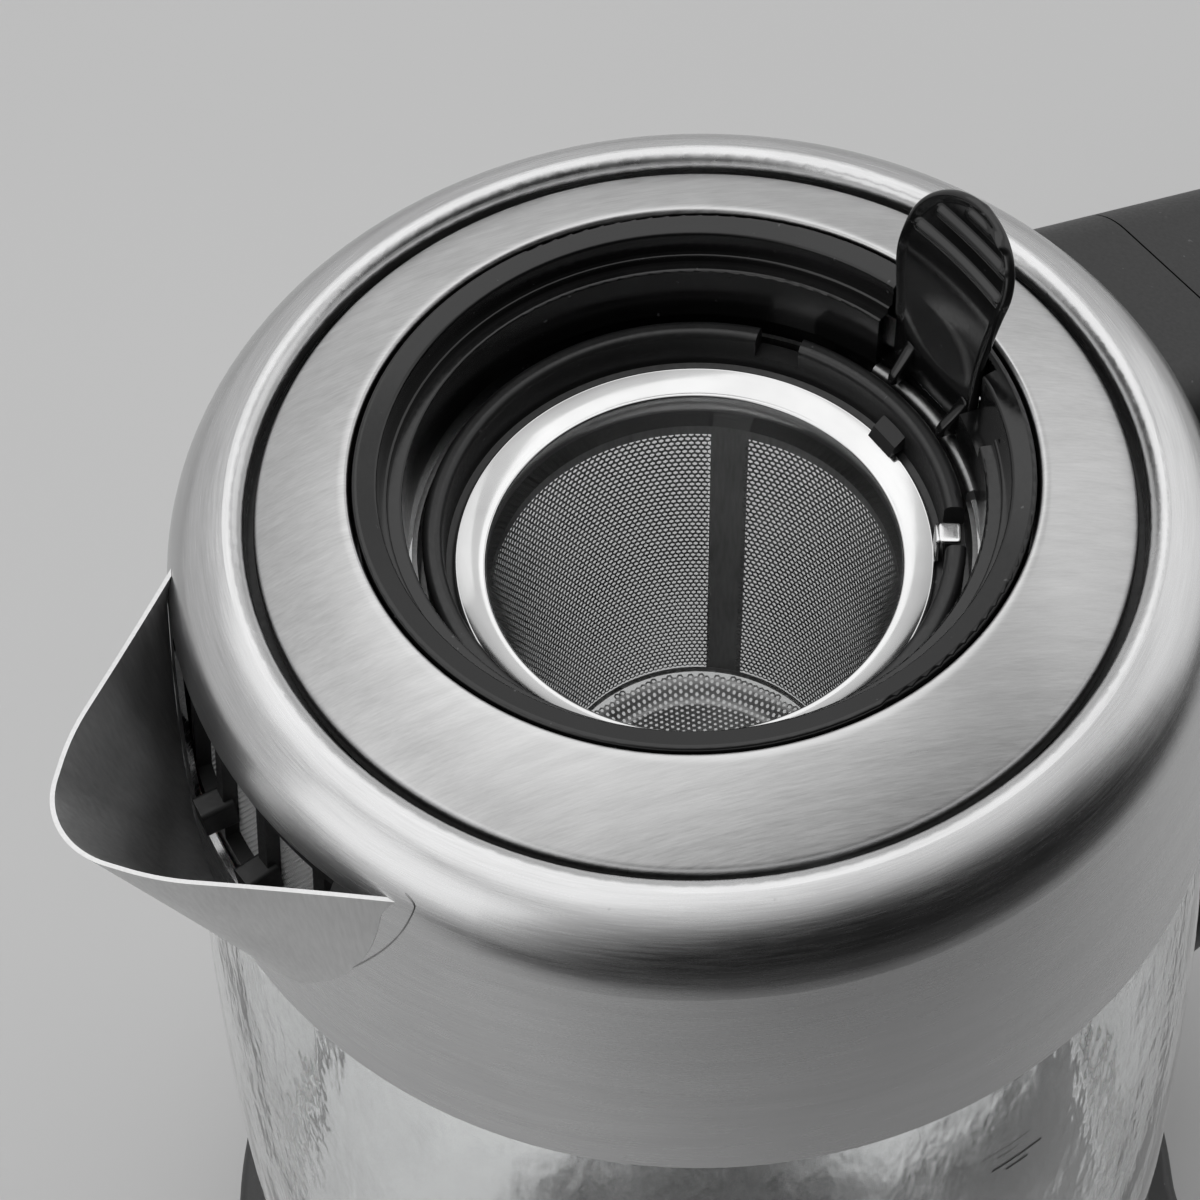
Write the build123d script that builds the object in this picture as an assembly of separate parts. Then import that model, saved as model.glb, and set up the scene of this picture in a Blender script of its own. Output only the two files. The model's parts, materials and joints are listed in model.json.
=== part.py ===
from build123d import *
import os
from math import acos, atan2, cos, degrees, hypot, radians, sin, sqrt, tan

# Tea maker: a glass jug with a steel collar and a lift-out infuser, on a round power base.
# Millimetres, +Z up. The origin is on the jug's axis, on the table under the base.
# +X points along the handle, -X along the spout, -Y towards the control panel.

# ---------------------------------------------------------------- driving dimensions
# Power base
foot_height = 2.5
base_height = 30.0
base_wall = 2.5
base_edge_round = 2.0
base_rim = 5.0
deck_margin = 3.0
deck_recess = 1.5
panel_reach = 38.0
panel_set_back = 3.0
panel_slope = 20.0
panel_corner = 18.0
panel_blend = 22.0
underplate_thickness = 2.0
underplate_gap = 0.3
foot_ring_inset = 10.0
foot_ring_width = 6.0
rubber_round = 0.5
front_foot_radius = 6.0
front_foot_x = 48.0
front_foot_set_back = 16.0
base_screw_inset = 8.0
base_screw_angle = 30.0
screw_radius = 1.5
screw_head_radius = 2.9
screw_head_height = 1.8
screw_hole_gap = 0.2
screw_end_gap = 4.0
screw_seat = 1.0
boss_wall = 2.5
vent_length = 22.0
vent_width = 2.2
vent_pitch = 5.0
vent_rows = 7
vent_centre_y = -50.0
cord_hole_radius = 3.3
cord_bush_wall = 2.7
cord_bush_length = 9.0
cord_flange_radius = 8.5
cord_flange = 2.0
cord_height = 13.5
cord_flange_round = 0.6
cord_flange_gap = 0.05

# Controls
button_radius = 6.2
button_gap = 0.35
button_pitch = 20.0
button_first = 28.0
button_proud = 1.6
button_travel = 1.2
button_flange = 1.2
button_flange_height = 1.0
button_rest_gap = 0.1
button_edge_round = 0.7
button_dish = 0.5
button_stem_radius = 1.8
dial_radius = 13.0
dial_height = 7.5
dial_gap = 0.5
dial_skirt = 2.0
dial_groove = 1.4
dial_shaft_clearance = 1.0
dial_flutes = 24
dial_flute_radius = 0.9
dial_flute_shift = 0.4
dial_skirt_round = 0.5
dial_crown_round = 1.2
dial_draft = 0.6
dial_shaft_radius = 3.0
shaft_fit = 0.06
dial_bush_wall = 1.6
dial_bush_drop = 0.6
dial_bush_floor = 0.7
board_drop = 8.0
board_thickness = 1.6
board_width = 118.0
board_side_gap = 4.5
board_depth = 20.0
switch_size = 6.0
switch_height = 3.6
plunger_radius = 1.6
plunger_height = 0.8
encoder_size = 13.0
encoder_height = 4.5

# Power board in the base
power_board_length = 62.0
power_board_width = 40.0
power_board_set_back = 34.0
power_board_lift = 4.0
transformer_size = (20.0, 18.0, 12.0)
transformer_core = (12.0, 20.0, 8.0)
transformer_place = (-17.0, -4.0)
relay_size = (16.0, 12.0, 11.0)
relay_place = (8.0, -6.0)
capacitor_radius = 4.0
capacitor_height = 11.0
capacitor_places = [(3.0, 10.0), (14.0, 10.0)]

# Connector between base and jug
hub_radius = 20.0
hub_height = 7.5
hub_depth = 14.0
hub_hole_gap = 0.3
hub_flange = 4.0
hub_chamfer = 1.5
hub_foot_inset = 2.0
pin_radius = 2.4
inner_contact_radius = 8.4
outer_contact_radius = 14.2
contact_thickness = 1.1
contact_length = 7.0
contact_gap = 0.7
contact_block_rim = 2.5
contact_flange = 3.5
contact_plate = 2.0
hub_side_gap = 1.2
hub_top_gap = 1.0
hub_floor_gap = 1.0

# Jug
jug_gap = 0.3
ring_height = 25.0
ring_sheet = 0.8
ring_gap = 0.4
ring_lip_gap = 0.15
ring_foot_round = 1.6
ring_top_round = 0.9
glass_visible = 136.5
glass_thickness = 2.6
glass_belly = 1.4
glass_belly_drop = 61.5
glass_foot_radius = 74.8
glass_seat = 3.0
glass_tuck = 8.5
seal_thickness = 0.6
seal_fit = 0.03
seal_cap = 1.2
seal_lip_height = 4.0
seal_lip = 1.0
seal_lip_gap = 0.15
cover_inset = 2.5
cover_side_gap = 0.3
cover_hole_gap = 0.2
drain_radius = 2.0
drain_circle = 58.0
drain_count = 6
cover_thickness = 2.5
cover_lift = 3.0
cover_rim = 3.5
heater_sheet = 1.0
heater_level = 18.0
heater_edge_gap = 0.1
heater_fillet = 1.5
element_ring_radius = 45.0
element_tube_radius = 4.2
element_sweep = 300.0
element_pin_radius = 1.4
element_pin_length = 6.0
thermostat_size = (30.0, 22.0)
thermostat_disc_radius = 8.0
thermostat_disc = 1.1
thermostat_corner = 3.0
contact_clearance = 0.1
probe_radius = 2.4
probe_height = 27.0
probe_x = 22.0
probe_hole_gap = 0.1
probe_nut_radius = 4.5
probe_nut_height = 3.9

# Collar, plate and neck. Heights are from the rim of the top plate.
sheet = 0.8
shoulder_radius = 10.0
shoulder_top = 2.0
groove_roll = 1.8
hem_gap = 0.1
hem_lap = 0.3
mouth_rise = 2.5
collar_foot_radius = 65.5
collar_drop = 38.5
plate_radius = 50.0
groove_gap = 1.0
plate_hem = 2.4
lip_height = 5.0
lip_roll = 1.2
plate_crown_share = 0.386
plate_crown_height = 3.6
plate_bend_share = 1.5
plate_edge_round = 0.6
lip_edge_round = 0.5
lip_depth = 1.8
lip_undercut = 0.7
lip_radius = 38.6
neck_gap = 0.35
neck_top_width = 2.85
neck_edge_width = 0.8
neck_ledge_width = 1.6
neck_step = 1.3
neck_step_drop = 0.9
neck_wall_drop = 7.4
neck_skirt_inset = 1.65
neck_skirt_wall = 2.3
neck_flange = 8.0
neck_drop = 16.0
neck_edge_round = 0.5
neck_step_round = 0.3
neck_bevel = 0.8
neck_flange_thickness = 1.6
neck_flange_gap = 0.05
frame_top = -3.1
frame_thickness = 2.9
frame_clearance = 2.25
frame_reach = 6.8
frame_rib = (8.0, 2.0, 4.0)
frame_rib_count = 8
slot_left = 14.0
slot_right = -13.5
slot_wall = 1.15
ledge_cut_end = -25.0
ledge_cut_depth = 1.5
ledge_cut_margin = 0.1
bead_radius = 0.95
bead_inset = 0.2
bead_gap = 0.15
band_top_drop = 2.2
band_drop = 15.4
band_sheet = 0.6
band_gap = 0.1
band_flange = 2.7

# Infuser
holder_side_gap = 0.8
holder_rim = 2.4
holder_top = -6.6
holder_gap = 0.3
holder_seat = 3.4
holder_round = 0.9
seat_gap = 0.03
notch_width = 11.0
notch_depth = 3.2
notch_angle = 35.5
hook_width = 4.2
hook_reach = 2.3
hook_height = 2.8
hook_gap = 0.35
hook_root = 0.6
hook_nose = 0.8
hook_nose_share = 0.45
flange_side_gap = 0.9
flange_edge = -11.8
flange_width = 3.3
flange_fall = 1.2
flange_sheet = 0.6
flange_edge_round = 0.25
flange_roll = 0.4
flange_roll_round = 0.5
lug_width = 4.6
lug_depth = 1.2
lug_margin = 0.5
band_height = 5.8
basket_wall = 0.5
basket_bottom_radius = 20.0
basket_bottom = -67.0
dish_depth = 2.0
dish_flat = 3.5
dish_lip = 1.2
dish_rim = 2.5
dish_edge = 1.0
dish_edge_round = 0.8
seam_strip_width = 4.8
seam_strip_angle = 45.5
tab_foot_angle = 9.5
tab_foot_gap = 0.7
bead_side_gap = 0.35
tab_width = 16.8
tab_waist = 15.4
tab_height = 22.8
tab_lean = 5.2
tab_mid_height = 12.5
tab_mid_lean = 0.8
tab_end_slope = 0.47
tab_bend_start = 0.5
tab_waist_height = 2.0
tab_rim_start = 1.0
tab_thickness = 1.3
tab_rim = 1.2
tab_rim_height = 0.9
tab_rib_count = 3
tab_rib_pitch = 3.0
tab_rib_start = 2.4
tab_rib_width = 1.0
tab_rib_inset = 0.5
tab_rib_share = 0.9
tab_rib_root = 0.1
gusset_thickness = 1.2
gusset_angle = 7.2
gusset_top = -1.0
gusset_toe = 0.6
gusset_root = 0.5
tab_foot_top = -3.2

# Spout
lip_overhang = 14.1
lip_nose_radius = 9.5
lip_shoulder_angle = 50.0
lip_flank_angle = 35.3
lip_knee = 6.3
spout_foot_radius = 24.0
spout_foot_shoulder_angle = 66.0
spout_foot_flank_angle = 60.0
spout_foot_knee = 4.0
spout_knee_round = 30.0
spout_sheet = 0.5
spout_weld_gap = 0.02
lip_rise = 2.0
lip_level = -1.0
lip_fall = 5.0
spout_drop = 37.0
mouth_margin = 2.4
mouth_drop = 27.0
strainer_gap = 0.4
strainer_thickness = 1.8
strainer_angle = 50.0
strainer_top = -6.4
strainer_bottom = -28.0
strainer_windows = 5
window_rim = 2.6
window_post = 1.8
lug_rise = 6.5
lug_size = (4.0, 3.2, 4.5)
lug_sink = 0.6
lug_round = 0.6
mesh_thickness = 0.4
mesh_gap = 0.02
mesh_inset_angle = 3.0

# Handle
handle_thickness = 20.0
handle_width = 40.0
handle_round = 9.0
handle_top = -19.1
handle_slope = 18.0
handle_stub = 13.0
handle_stand_off = 37.0
handle_bend = 27.0
handle_foot_height = 18.0
bridge_length = 11.2
handle_foot_length = 10.0
handle_fit = 0.05
glass_clearance = 0.6
seam_gap = 0.3
liner_depth = 5.0
handle_screw_spread = 8.0
handle_screw_shift = 1.5
handle_screw_sink = 0.75

# ---------------------------------------------------------------- sizes worked out
ring_radius = glass_foot_radius + ring_gap + ring_sheet
cover_radius = ring_radius - cover_inset
panel_width = board_width + 2 * board_side_gap + 2 * base_wall
deck_recess_radius = ring_radius + deck_margin
base_radius = deck_recess_radius + base_rim
panel_start = base_radius - panel_set_back
panel_front = base_radius + panel_reach
foot_ring_outer = base_radius - foot_ring_inset
power_board_y = base_radius - power_board_set_back
front_foot_y = panel_front - front_foot_set_back
groove_outer = plate_radius + groove_gap
shoulder_centre = groove_outer
neck_outer = lip_radius - neck_gap
neck_top_inner = neck_outer - neck_top_width
neck_step_inner = neck_top_inner - neck_edge_width
neck_inner = neck_step_inner - neck_ledge_width
neck_skirt_outer = neck_outer - neck_skirt_inset
neck_skirt_inner = neck_skirt_outer - neck_skirt_wall
frame_inner = neck_outer + frame_clearance
frame_outer = shoulder_centre + frame_reach
slot_radius = neck_outer - slot_wall
band_outer = neck_inner - band_gap
bead_centre = neck_inner + bead_inset
holder_outer = band_outer - band_sheet - holder_side_gap
holder_inner = holder_outer - holder_rim
holder_seat_inner = holder_inner - holder_seat
flange_outer = holder_inner - flange_side_gap
flange_inner = flange_outer - flange_width
hook_inner = holder_inner - hook_reach
tab_foot_outer = slot_radius - tab_foot_gap
tab_foot_inner = bead_centre + bead_radius + bead_side_gap
lip_tip = collar_foot_radius + lip_overhang
spout_root = plate_radius - lip_radius / 8
lip_plan = (lip_nose_radius, lip_shoulder_angle, lip_flank_angle, lip_knee)
spout_foot_plan = (
    spout_foot_radius,
    spout_foot_shoulder_angle,
    spout_foot_flank_angle,
    spout_foot_knee,
)
handle_end = collar_foot_radius
handle_reach = ring_radius + handle_stand_off
handle_foot_end = ring_radius + handle_foot_length
jug_height = ring_height + glass_visible + collar_drop
handle_foot_level = handle_foot_height - jug_height

# ---------------------------------------------------------------- levels worked out
deck_z = base_height - deck_recess
jug_z = deck_z + jug_gap
plate_z = jug_z + jug_height
underplate_top = foot_height + underplate_thickness
panel_normal = (0, -sin(radians(panel_slope)), cos(radians(panel_slope)))
panel_mid_y = -(panel_start + panel_front) / 2
panel_mid_z = base_height - (-panel_mid_y - panel_start) * tan(radians(panel_slope))
panel = Plane(origin=(0, panel_mid_y, panel_mid_z), x_dir=(1, 0, 0), z_dir=panel_normal)
button_places = [
    side * (button_first + step * button_pitch) for side in (-1, 1) for step in (0, 1)
]
hub_top = hub_height - jug_gap
well_ceiling = hub_top + hub_top_gap
well_radius = hub_radius + hub_side_gap
spout_top = lip_level + lip_rise
BIG = 400.0
CENTRE = Align.CENTER
LOW = Align.MIN
HIGH = Align.MAX


# ---------------------------------------------------------------- helpers
def turned(points, sweep=360.0):
    """Solid turned about Z from a closed outline of (radius, height, corner radius) points."""
    places = [(r, 0, z) for r, z, rounding in points]
    roundings = [rounding for r, z, rounding in points]
    outline = FilletPolyline(*places, radius=roundings, close=True)
    return revolve(make_face(outline), Axis.Z, sweep)


def tube(outer, inner, low, high):
    """Plain tube on the Z axis."""
    return turned([(inner, low, 0), (outer, low, 0), (outer, high, 0), (inner, high, 0)])


def rod(radius, low, high, x=0.0, y=0.0):
    """Upright round bar between two heights."""
    return Pos(x, y, low) * Cylinder(radius, high - low, align=(CENTRE, CENTRE, LOW))


def wedge(start, end, inner, outer, low, high):
    """Sector of a tube between two angles about Z, counted from +X."""
    outline = [(inner, low, 0), (outer, low, 0), (outer, high, 0), (inner, high, 0)]
    return Rot(0, 0, start) * turned(outline, end - start)


def joined(parts):
    """Fuse a list of solids."""
    body = parts[0]
    for extra in parts[1:]:
        body = body + extra
    return body


# ---------------------------------------------------------------- power base
def base_plan(inset):
    """Plan of the base: a disc with a control panel that juts out at the front."""
    depth = panel_front - inset
    disc = Circle(base_radius - inset)
    front = Pos(0, -depth / 2) * Rectangle(panel_width - 2 * inset, depth)
    plan = disc + front
    corners = plan.vertices().filter_by(lambda v: v.Y < -depth + 1)
    plan = fillet(corners, panel_corner - inset)
    throats = plan.vertices().filter_by(
        lambda v: abs(hypot(v.X, v.Y) - base_radius + inset) < 0.01 and v.Y < -1
    )
    return fillet(throats, panel_blend + inset)


def base_form(inset, low, high):
    """Solid over the base's plan, cut off by the sloping panel set in by the same amount."""
    body = Pos(0, 0, low) * extrude(base_plan(inset), high - low)
    above = panel * Pos(0, 0, -inset) * Box(BIG, BIG, BIG, align=(CENTRE, CENTRE, LOW))
    return body - above


def base_screw_places():
    """Centres of the four screws that hold the underplate, inside the rubber ring."""
    reach = foot_ring_outer - foot_ring_width - base_screw_inset
    x = reach * cos(radians(base_screw_angle))
    y = reach * sin(radians(base_screw_angle))
    return [(sx * x, sy * y) for sx in (-1, 1) for sy in (-1, 1)]


def board_post_places():
    """Centres of the control board's posts, in the panel's own plane."""
    reach = board_width / 2 - boss_wall
    depth = board_depth / 2 - boss_wall
    return [(sx * reach, sy * depth) for sx in (-1, 1) for sy in (-1, 1)]


def base_housing():
    """Upper shell of the base with deck recess, hub hole, panel holes and screw bosses."""
    outer = base_form(0, foot_height, base_height)
    outer = fillet(outer.faces().sort_by(Axis.Z)[-1].edges(), base_edge_round)
    shell = outer - base_form(base_wall, foot_height - 1, deck_z - base_wall)
    boss_radius = screw_radius + boss_wall
    for x, y in base_screw_places():
        shell = shell + rod(boss_radius, underplate_top, deck_z - base_wall / 2, x, y)
    for x, y in base_screw_places():
        shell = shell - rod(screw_radius, foot_height, deck_z - base_wall, x, y)
    post = Cylinder(boss_wall, board_drop, align=(CENTRE, CENTRE, HIGH))
    for x, y in board_post_places():
        shell = shell + panel * Pos(x, y, -base_wall) * post
    shell = shell - rod(deck_recess_radius, deck_z, base_height + 1)
    shell = shell - rod(hub_radius + hub_hole_gap, foot_height, base_height)
    hole = Cylinder(button_radius + button_gap, 4 * base_wall)
    for x in button_places:
        shell = shell - panel * Pos(x, 0, 0) * hole
    bush = dial_shaft_radius + shaft_fit + dial_bush_wall
    shell = shell - panel * Cylinder(bush + button_gap, 4 * base_wall)
    cord = Cylinder(cord_hole_radius + cord_bush_wall, 4 * cord_bush_length)
    return shell - Pos(0, base_radius, cord_height) * Rot(90, 0, 0) * cord


def base_underplate():
    """Flat bottom cover with screw holes, vents and four posts for the power board."""
    plan = base_plan(base_wall + underplate_gap)
    plate = Pos(0, 0, foot_height) * extrude(plan, underplate_thickness)
    for x, y in base_screw_places():
        plate = plate - rod(screw_radius + screw_hole_gap, 0, underplate_top + 1, x, y)
        plate = plate - rod(screw_head_radius + screw_hole_gap, 0, foot_height + screw_seat, x, y)
    slot = extrude(SlotOverall(vent_length, vent_width), underplate_top + 1)
    for row in range(vent_rows):
        shift = (row - (vent_rows - 1) / 2) * vent_pitch
        plate = plate - Pos(0, vent_centre_y + shift, 0) * slot
    for x, y in power_post_places():
        plate = plate + rod(boss_wall, underplate_top, underplate_top + power_board_lift, x, y)
    return plate


def power_post_places():
    """Centres of the posts under the power board."""
    reach = power_board_length / 2 - boss_wall
    depth = power_board_width / 2 - boss_wall
    return [
        (sx * reach, power_board_y + sy * depth) for sx in (-1, 1) for sy in (-1, 1)
    ]


def foot_ring():
    """Rubber ring that the base stands on."""
    inner = foot_ring_outer - foot_ring_width
    return turned(
        [
            (inner, 0, rubber_round),
            (foot_ring_outer, 0, rubber_round),
            (foot_ring_outer, foot_height, 0),
            (inner, foot_height, 0),
        ]
    )


def front_feet():
    """Two rubber pads under the control panel."""
    return [
        rod(front_foot_radius, 0, foot_height, side * front_foot_x, -front_foot_y)
        for side in (-1, 1)
    ]


def base_screws():
    """Four screws that hold the underplate to the housing."""
    screws = []
    for x, y in base_screw_places():
        seat = foot_height + screw_seat
        head = rod(screw_head_radius, seat - screw_head_height, seat, x, y)
        shank = rod(screw_radius, seat, deck_z - 2 * base_wall - screw_end_gap, x, y)
        screws.append(head + shank)
    return screws


def cord_bush():
    """Bush in the rear wall where the mains lead enters."""
    outer = cord_hole_radius + cord_bush_wall
    body = Cylinder(outer, cord_bush_length, align=(CENTRE, CENTRE, LOW))
    flange = Cylinder(cord_flange_radius, cord_flange, align=(CENTRE, CENTRE, LOW))
    flange = fillet(flange.edges().sort_by(Axis.Z)[:1], cord_flange_round)
    bush = body + flange - Cylinder(cord_hole_radius, 4 * cord_bush_length)
    place = Pos(0, base_radius + cord_flange + cord_flange_gap, cord_height)
    return place * Rot(90, 0, 0) * bush


def power_board():
    """Board that carries the mains side of the electronics."""
    low = underplate_top + power_board_lift
    size = (power_board_length, power_board_width, board_thickness)
    return Pos(0, power_board_y, low) * Box(*size, align=(CENTRE, CENTRE, LOW))


def power_components():
    """Transformer, relay and capacitors that stand on the power board."""
    top = underplate_top + power_board_lift + board_thickness
    board = Pos(0, power_board_y, top)
    winding = Box(*transformer_size, align=(CENTRE, CENTRE, LOW))
    core = Box(*transformer_core, align=(CENTRE, CENTRE, LOW))
    relay = Box(*relay_size, align=(CENTRE, CENTRE, LOW))
    capacitor = Cylinder(capacitor_radius, capacitor_height, align=(CENTRE, CENTRE, LOW))
    parts = [board * Pos(*transformer_place) * (winding + core)]
    parts.append(board * Pos(*relay_place) * relay)
    return parts + [board * Pos(*place) * capacitor for place in capacitor_places]


def base_connector():
    """Round hub with ring slots that the jug's contacts drop into."""
    low = deck_z - hub_depth
    top = deck_z + hub_height
    under = deck_z - base_wall
    hub = turned(
        [
            (0, low, 0),
            (hub_radius - hub_foot_inset, low, 0),
            (hub_radius - hub_foot_inset, under - hub_foot_inset, 0),
            (hub_radius + hub_flange, under - hub_foot_inset, 0),
            (hub_radius + hub_flange, under, 0),
            (hub_radius, under, 0),
            (hub_radius, top - hub_chamfer, 0),
            (hub_radius - hub_chamfer, top, 0),
            (0, top, 0),
        ]
    )
    floor = top - contact_length - hub_top_gap - hub_floor_gap
    slots = rod(pin_radius + contact_gap, floor, top + 1)
    for radius in (inner_contact_radius, outer_contact_radius):
        half = contact_thickness / 2 + contact_gap
        slots = slots + tube(radius + half, radius - half, floor, top + 1)
    return hub - slots


# ---------------------------------------------------------------- controls
def control_board():
    """Board that hangs on posts under the sloping panel."""
    size = (board_width, board_depth, board_thickness)
    return panel * Pos(0, 0, -base_wall - board_drop) * Box(*size, align=(CENTRE, CENTRE, HIGH))


def button_switches():
    """Four small press switches on the control board."""
    body = Box(switch_size, switch_size, switch_height, align=(CENTRE, CENTRE, LOW))
    plunger = Cylinder(plunger_radius, switch_height + plunger_height, align=(CENTRE, CENTRE, LOW))
    return [
        panel * Pos(x, 0, -base_wall - board_drop) * (body + plunger) for x in button_places
    ]


def button(x):
    """Dished push button with a retaining flange and a stem to its switch."""
    flange_top = -base_wall - button_rest_gap
    flange_low = flange_top - button_flange_height
    switch_top = switch_height + plunger_height - base_wall - board_drop
    stem_low = switch_top + button_travel + button_rest_gap
    wide = button_radius + button_gap + button_flange
    cap = turned(
        [
            (0, stem_low, 0),
            (button_stem_radius, stem_low, 0),
            (button_stem_radius, flange_low, 0),
            (wide, flange_low, 0),
            (wide, flange_top, 0),
            (button_radius, flange_top, 0),
            (button_radius, button_proud, button_edge_round),
            (0, button_proud, 0),
        ]
    )
    dish_radius = 4 * button_radius
    dish = Pos(0, 0, dish_radius + button_proud - button_dish) * Sphere(dish_radius)
    return panel * Pos(x, 0, 0) * (cap - dish)


def dial_knob():
    """Fluted knob with a pointer groove on a stub shaft."""
    low = dial_gap
    shaft_low = dial_shaft_clearance - base_wall - board_drop
    crown = dial_radius - dial_skirt
    knob = turned(
        [
            (0, shaft_low, 0),
            (dial_shaft_radius, shaft_low, 0),
            (dial_shaft_radius, low, 0),
            (dial_radius, low, 0),
            (dial_radius, low + dial_skirt, dial_skirt_round),
            (crown, low + 1.5 * dial_skirt, 0),
            (crown - dial_draft, low + dial_height, dial_crown_round),
            (0, low + dial_height, 0),
        ]
    )
    flute = Cylinder(dial_flute_radius, dial_height, align=(CENTRE, CENTRE, LOW))
    flutes = PolarLocations(crown + dial_flute_shift, dial_flutes)
    flute_low = low + 1.8 * dial_skirt
    knob = knob - [place * Pos(0, 0, flute_low) * flute for place in flutes]
    groove = Box(dial_groove, crown - dial_skirt, dial_groove)
    knob = knob - Pos(0, crown / 2, low + dial_height) * groove
    return panel * knob


def dial_encoder():
    """Rotary encoder on the control board with the bush that the dial's shaft turns in."""
    board = -base_wall - board_drop
    body = Box(encoder_size, encoder_size, encoder_height, align=(CENTRE, CENTRE, LOW))
    bore = dial_shaft_radius + shaft_fit
    bush_height = -board - dial_bush_drop
    bush = Cylinder(bore + dial_bush_wall, bush_height, align=(CENTRE, CENTRE, LOW))
    hole = Cylinder(bore, board_drop * 2, align=(CENTRE, CENTRE, LOW))
    hole = Pos(0, 0, dial_bush_floor) * hole
    return panel * Pos(0, 0, board) * (body + bush - hole)


# ---------------------------------------------------------------- foot of the jug
def jug_connector():
    """Contact block under the jug: a pin and two rings that drop into the hub."""
    low = well_ceiling - contact_length
    plate_low = well_ceiling + cover_thickness
    plate_high = plate_low + contact_plate
    block_radius = outer_contact_radius + contact_block_rim
    block = rod(block_radius, well_ceiling, plate_high)
    flange = rod(block_radius + contact_flange, plate_low, plate_high)
    pin = rod(pin_radius, low, plate_low)
    pin = fillet(pin.edges().sort_by(Axis.Z)[:1], pin_radius * 0.6)
    body = block + flange + pin
    for radius in (inner_contact_radius, outer_contact_radius):
        half = contact_thickness / 2
        body = body + tube(radius + half, radius - half, low, plate_low)
    return body


def jug_bottom_cover():
    """Plastic cover that closes the jug's foot, with a well for the hub."""
    ceiling_top = well_ceiling + cover_thickness
    hole = outer_contact_radius + contact_block_rim + cover_hole_gap
    cover = turned(
        [
            (hole, well_ceiling, 0),
            (well_radius, well_ceiling, 0),
            (well_radius, cover_lift, 0),
            (cover_radius - cover_rim, cover_lift, 0),
            (cover_radius - cover_rim, 0, 0),
            (cover_radius, 0, 0),
            (cover_radius, cover_lift + cover_thickness, 0),
            (well_radius + cover_thickness, cover_lift + cover_thickness, 0),
            (well_radius + cover_thickness, ceiling_top, 0),
            (hole, ceiling_top, 0),
        ]
    )
    drain = Cylinder(drain_radius, BIG)
    for place in PolarLocations(drain_circle, drain_count):
        cover = cover - place * drain
    return cover


def jug_base_ring():
    """Steel band round the foot of the jug."""
    inner = ring_radius - ring_sheet
    top = ring_height
    return turned(
        [
            (cover_radius + cover_side_gap, 0, 0),
            (ring_radius, 0, ring_foot_round),
            (ring_radius, top, ring_top_round),
            (glass_foot_radius + ring_lip_gap, top, 0),
            (glass_foot_radius + ring_lip_gap, top - ring_sheet, 0),
            (inner, top - ring_sheet, 0),
            (inner, ring_sheet, 0),
            (cover_radius + cover_side_gap, ring_sheet, 0),
        ]
    )


def glass_foot_z():
    """Height of the glass's lower edge above the jug's underside."""
    return ring_height - glass_seat


def heater_plate():
    """Steel floor of the jug with an upturned rim inside the glass."""
    low = heater_level
    top = low + heater_sheet
    rim = seal_inner() - seal_fit
    rim_top = glass_foot_z() + seal_lip_height
    outer = ring_radius - ring_sheet - heater_edge_gap
    plate = turned(
        [
            (0, low, 0),
            (outer, low, 0),
            (outer, top, 0),
            (rim, top, 0),
            (rim, rim_top, 0),
            (rim - heater_sheet, rim_top, 0),
            (rim - heater_sheet, top, heater_fillet),
            (0, top, 0),
        ]
    )
    return plate - rod(probe_radius + probe_hole_gap, low - 1, top + 1, probe_x)


def seal_inner():
    """Inner radius of the silicone ring, a lip's width inside the glass where its lip ends."""
    lip_top = glass_foot_z() + seal_lip_height - jug_height
    return glass_radius(lip_top) - glass_thickness - seal_lip_gap - seal_lip


def heater_seal():
    """Silicone ring between the heater plate and the glass."""
    inner = seal_inner()
    low = heater_level + heater_sheet
    lip_top = glass_foot_z() + seal_lip_height
    return turned(
        [
            (inner, low, 0),
            (glass_foot_radius, low, 0),
            (glass_foot_radius, glass_foot_z(), 0),
            (inner + seal_lip, glass_foot_z(), 0),
            (inner + seal_lip, lip_top, 0),
            (inner, lip_top, 0),
        ]
    )


def heating_element():
    """Tubular element under the heater plate, open at the front, with two cold ends."""
    level = heater_level - element_tube_radius
    start = -90 + (360 - element_sweep) / 2
    section = Pos(element_ring_radius, 0, level) * Rot(90, 0, 0) * Circle(element_tube_radius)
    ring = Rot(0, 0, start) * revolve(section, Axis.Z, element_sweep)
    for angle in (start, start + element_sweep):
        end = Rot(0, 0, angle) * Pos(element_ring_radius, 0, level)
        way = -1 if angle == start else 1
        pin = Cylinder(element_pin_radius, element_pin_length, align=(CENTRE, CENTRE, LOW))
        ring = ring + end * Rot(-90 * way, 0, 0) * pin
    return ring


def thermostat_block():
    """Dry-boil thermostat that stands on the contact block under the heater plate."""
    low = well_ceiling + cover_thickness + contact_plate
    disc_low = heater_level - thermostat_disc - contact_clearance
    size = (*thermostat_size, disc_low - low)
    body = Pos(0, 0, low) * Box(*size, align=(CENTRE, CENTRE, LOW))
    body = fillet(body.edges().filter_by(Axis.Z), thermostat_corner)
    return body + rod(thermostat_disc_radius, disc_low, disc_low + thermostat_disc)


def temperature_probe():
    """Thin steel finger that senses the water's temperature."""
    high = heater_level + probe_height
    nut_top = heater_level - contact_clearance
    probe = rod(probe_radius, nut_top - probe_nut_height, high, probe_x)
    probe = fillet(probe.edges().sort_by(Axis.Z)[-1:], probe_radius * 0.9)
    return probe + rod(probe_nut_radius, nut_top - probe_nut_height, nut_top, probe_x)


# ---------------------------------------------------------------- glass and collar
def collar_tangent(inset):
    """Where the shoulder's round meets the straight wall, and where that wall ends."""
    reach_r = collar_foot_radius - shoulder_centre
    reach_z = -collar_drop - (shoulder_top - shoulder_radius)
    angle = atan2(reach_z, reach_r) + acos(shoulder_radius / hypot(reach_r, reach_z))
    radius = shoulder_radius - inset
    centre_z = shoulder_top - shoulder_radius
    joint = (shoulder_centre + radius * cos(angle), centre_z + radius * sin(angle))
    return joint, angle


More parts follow.
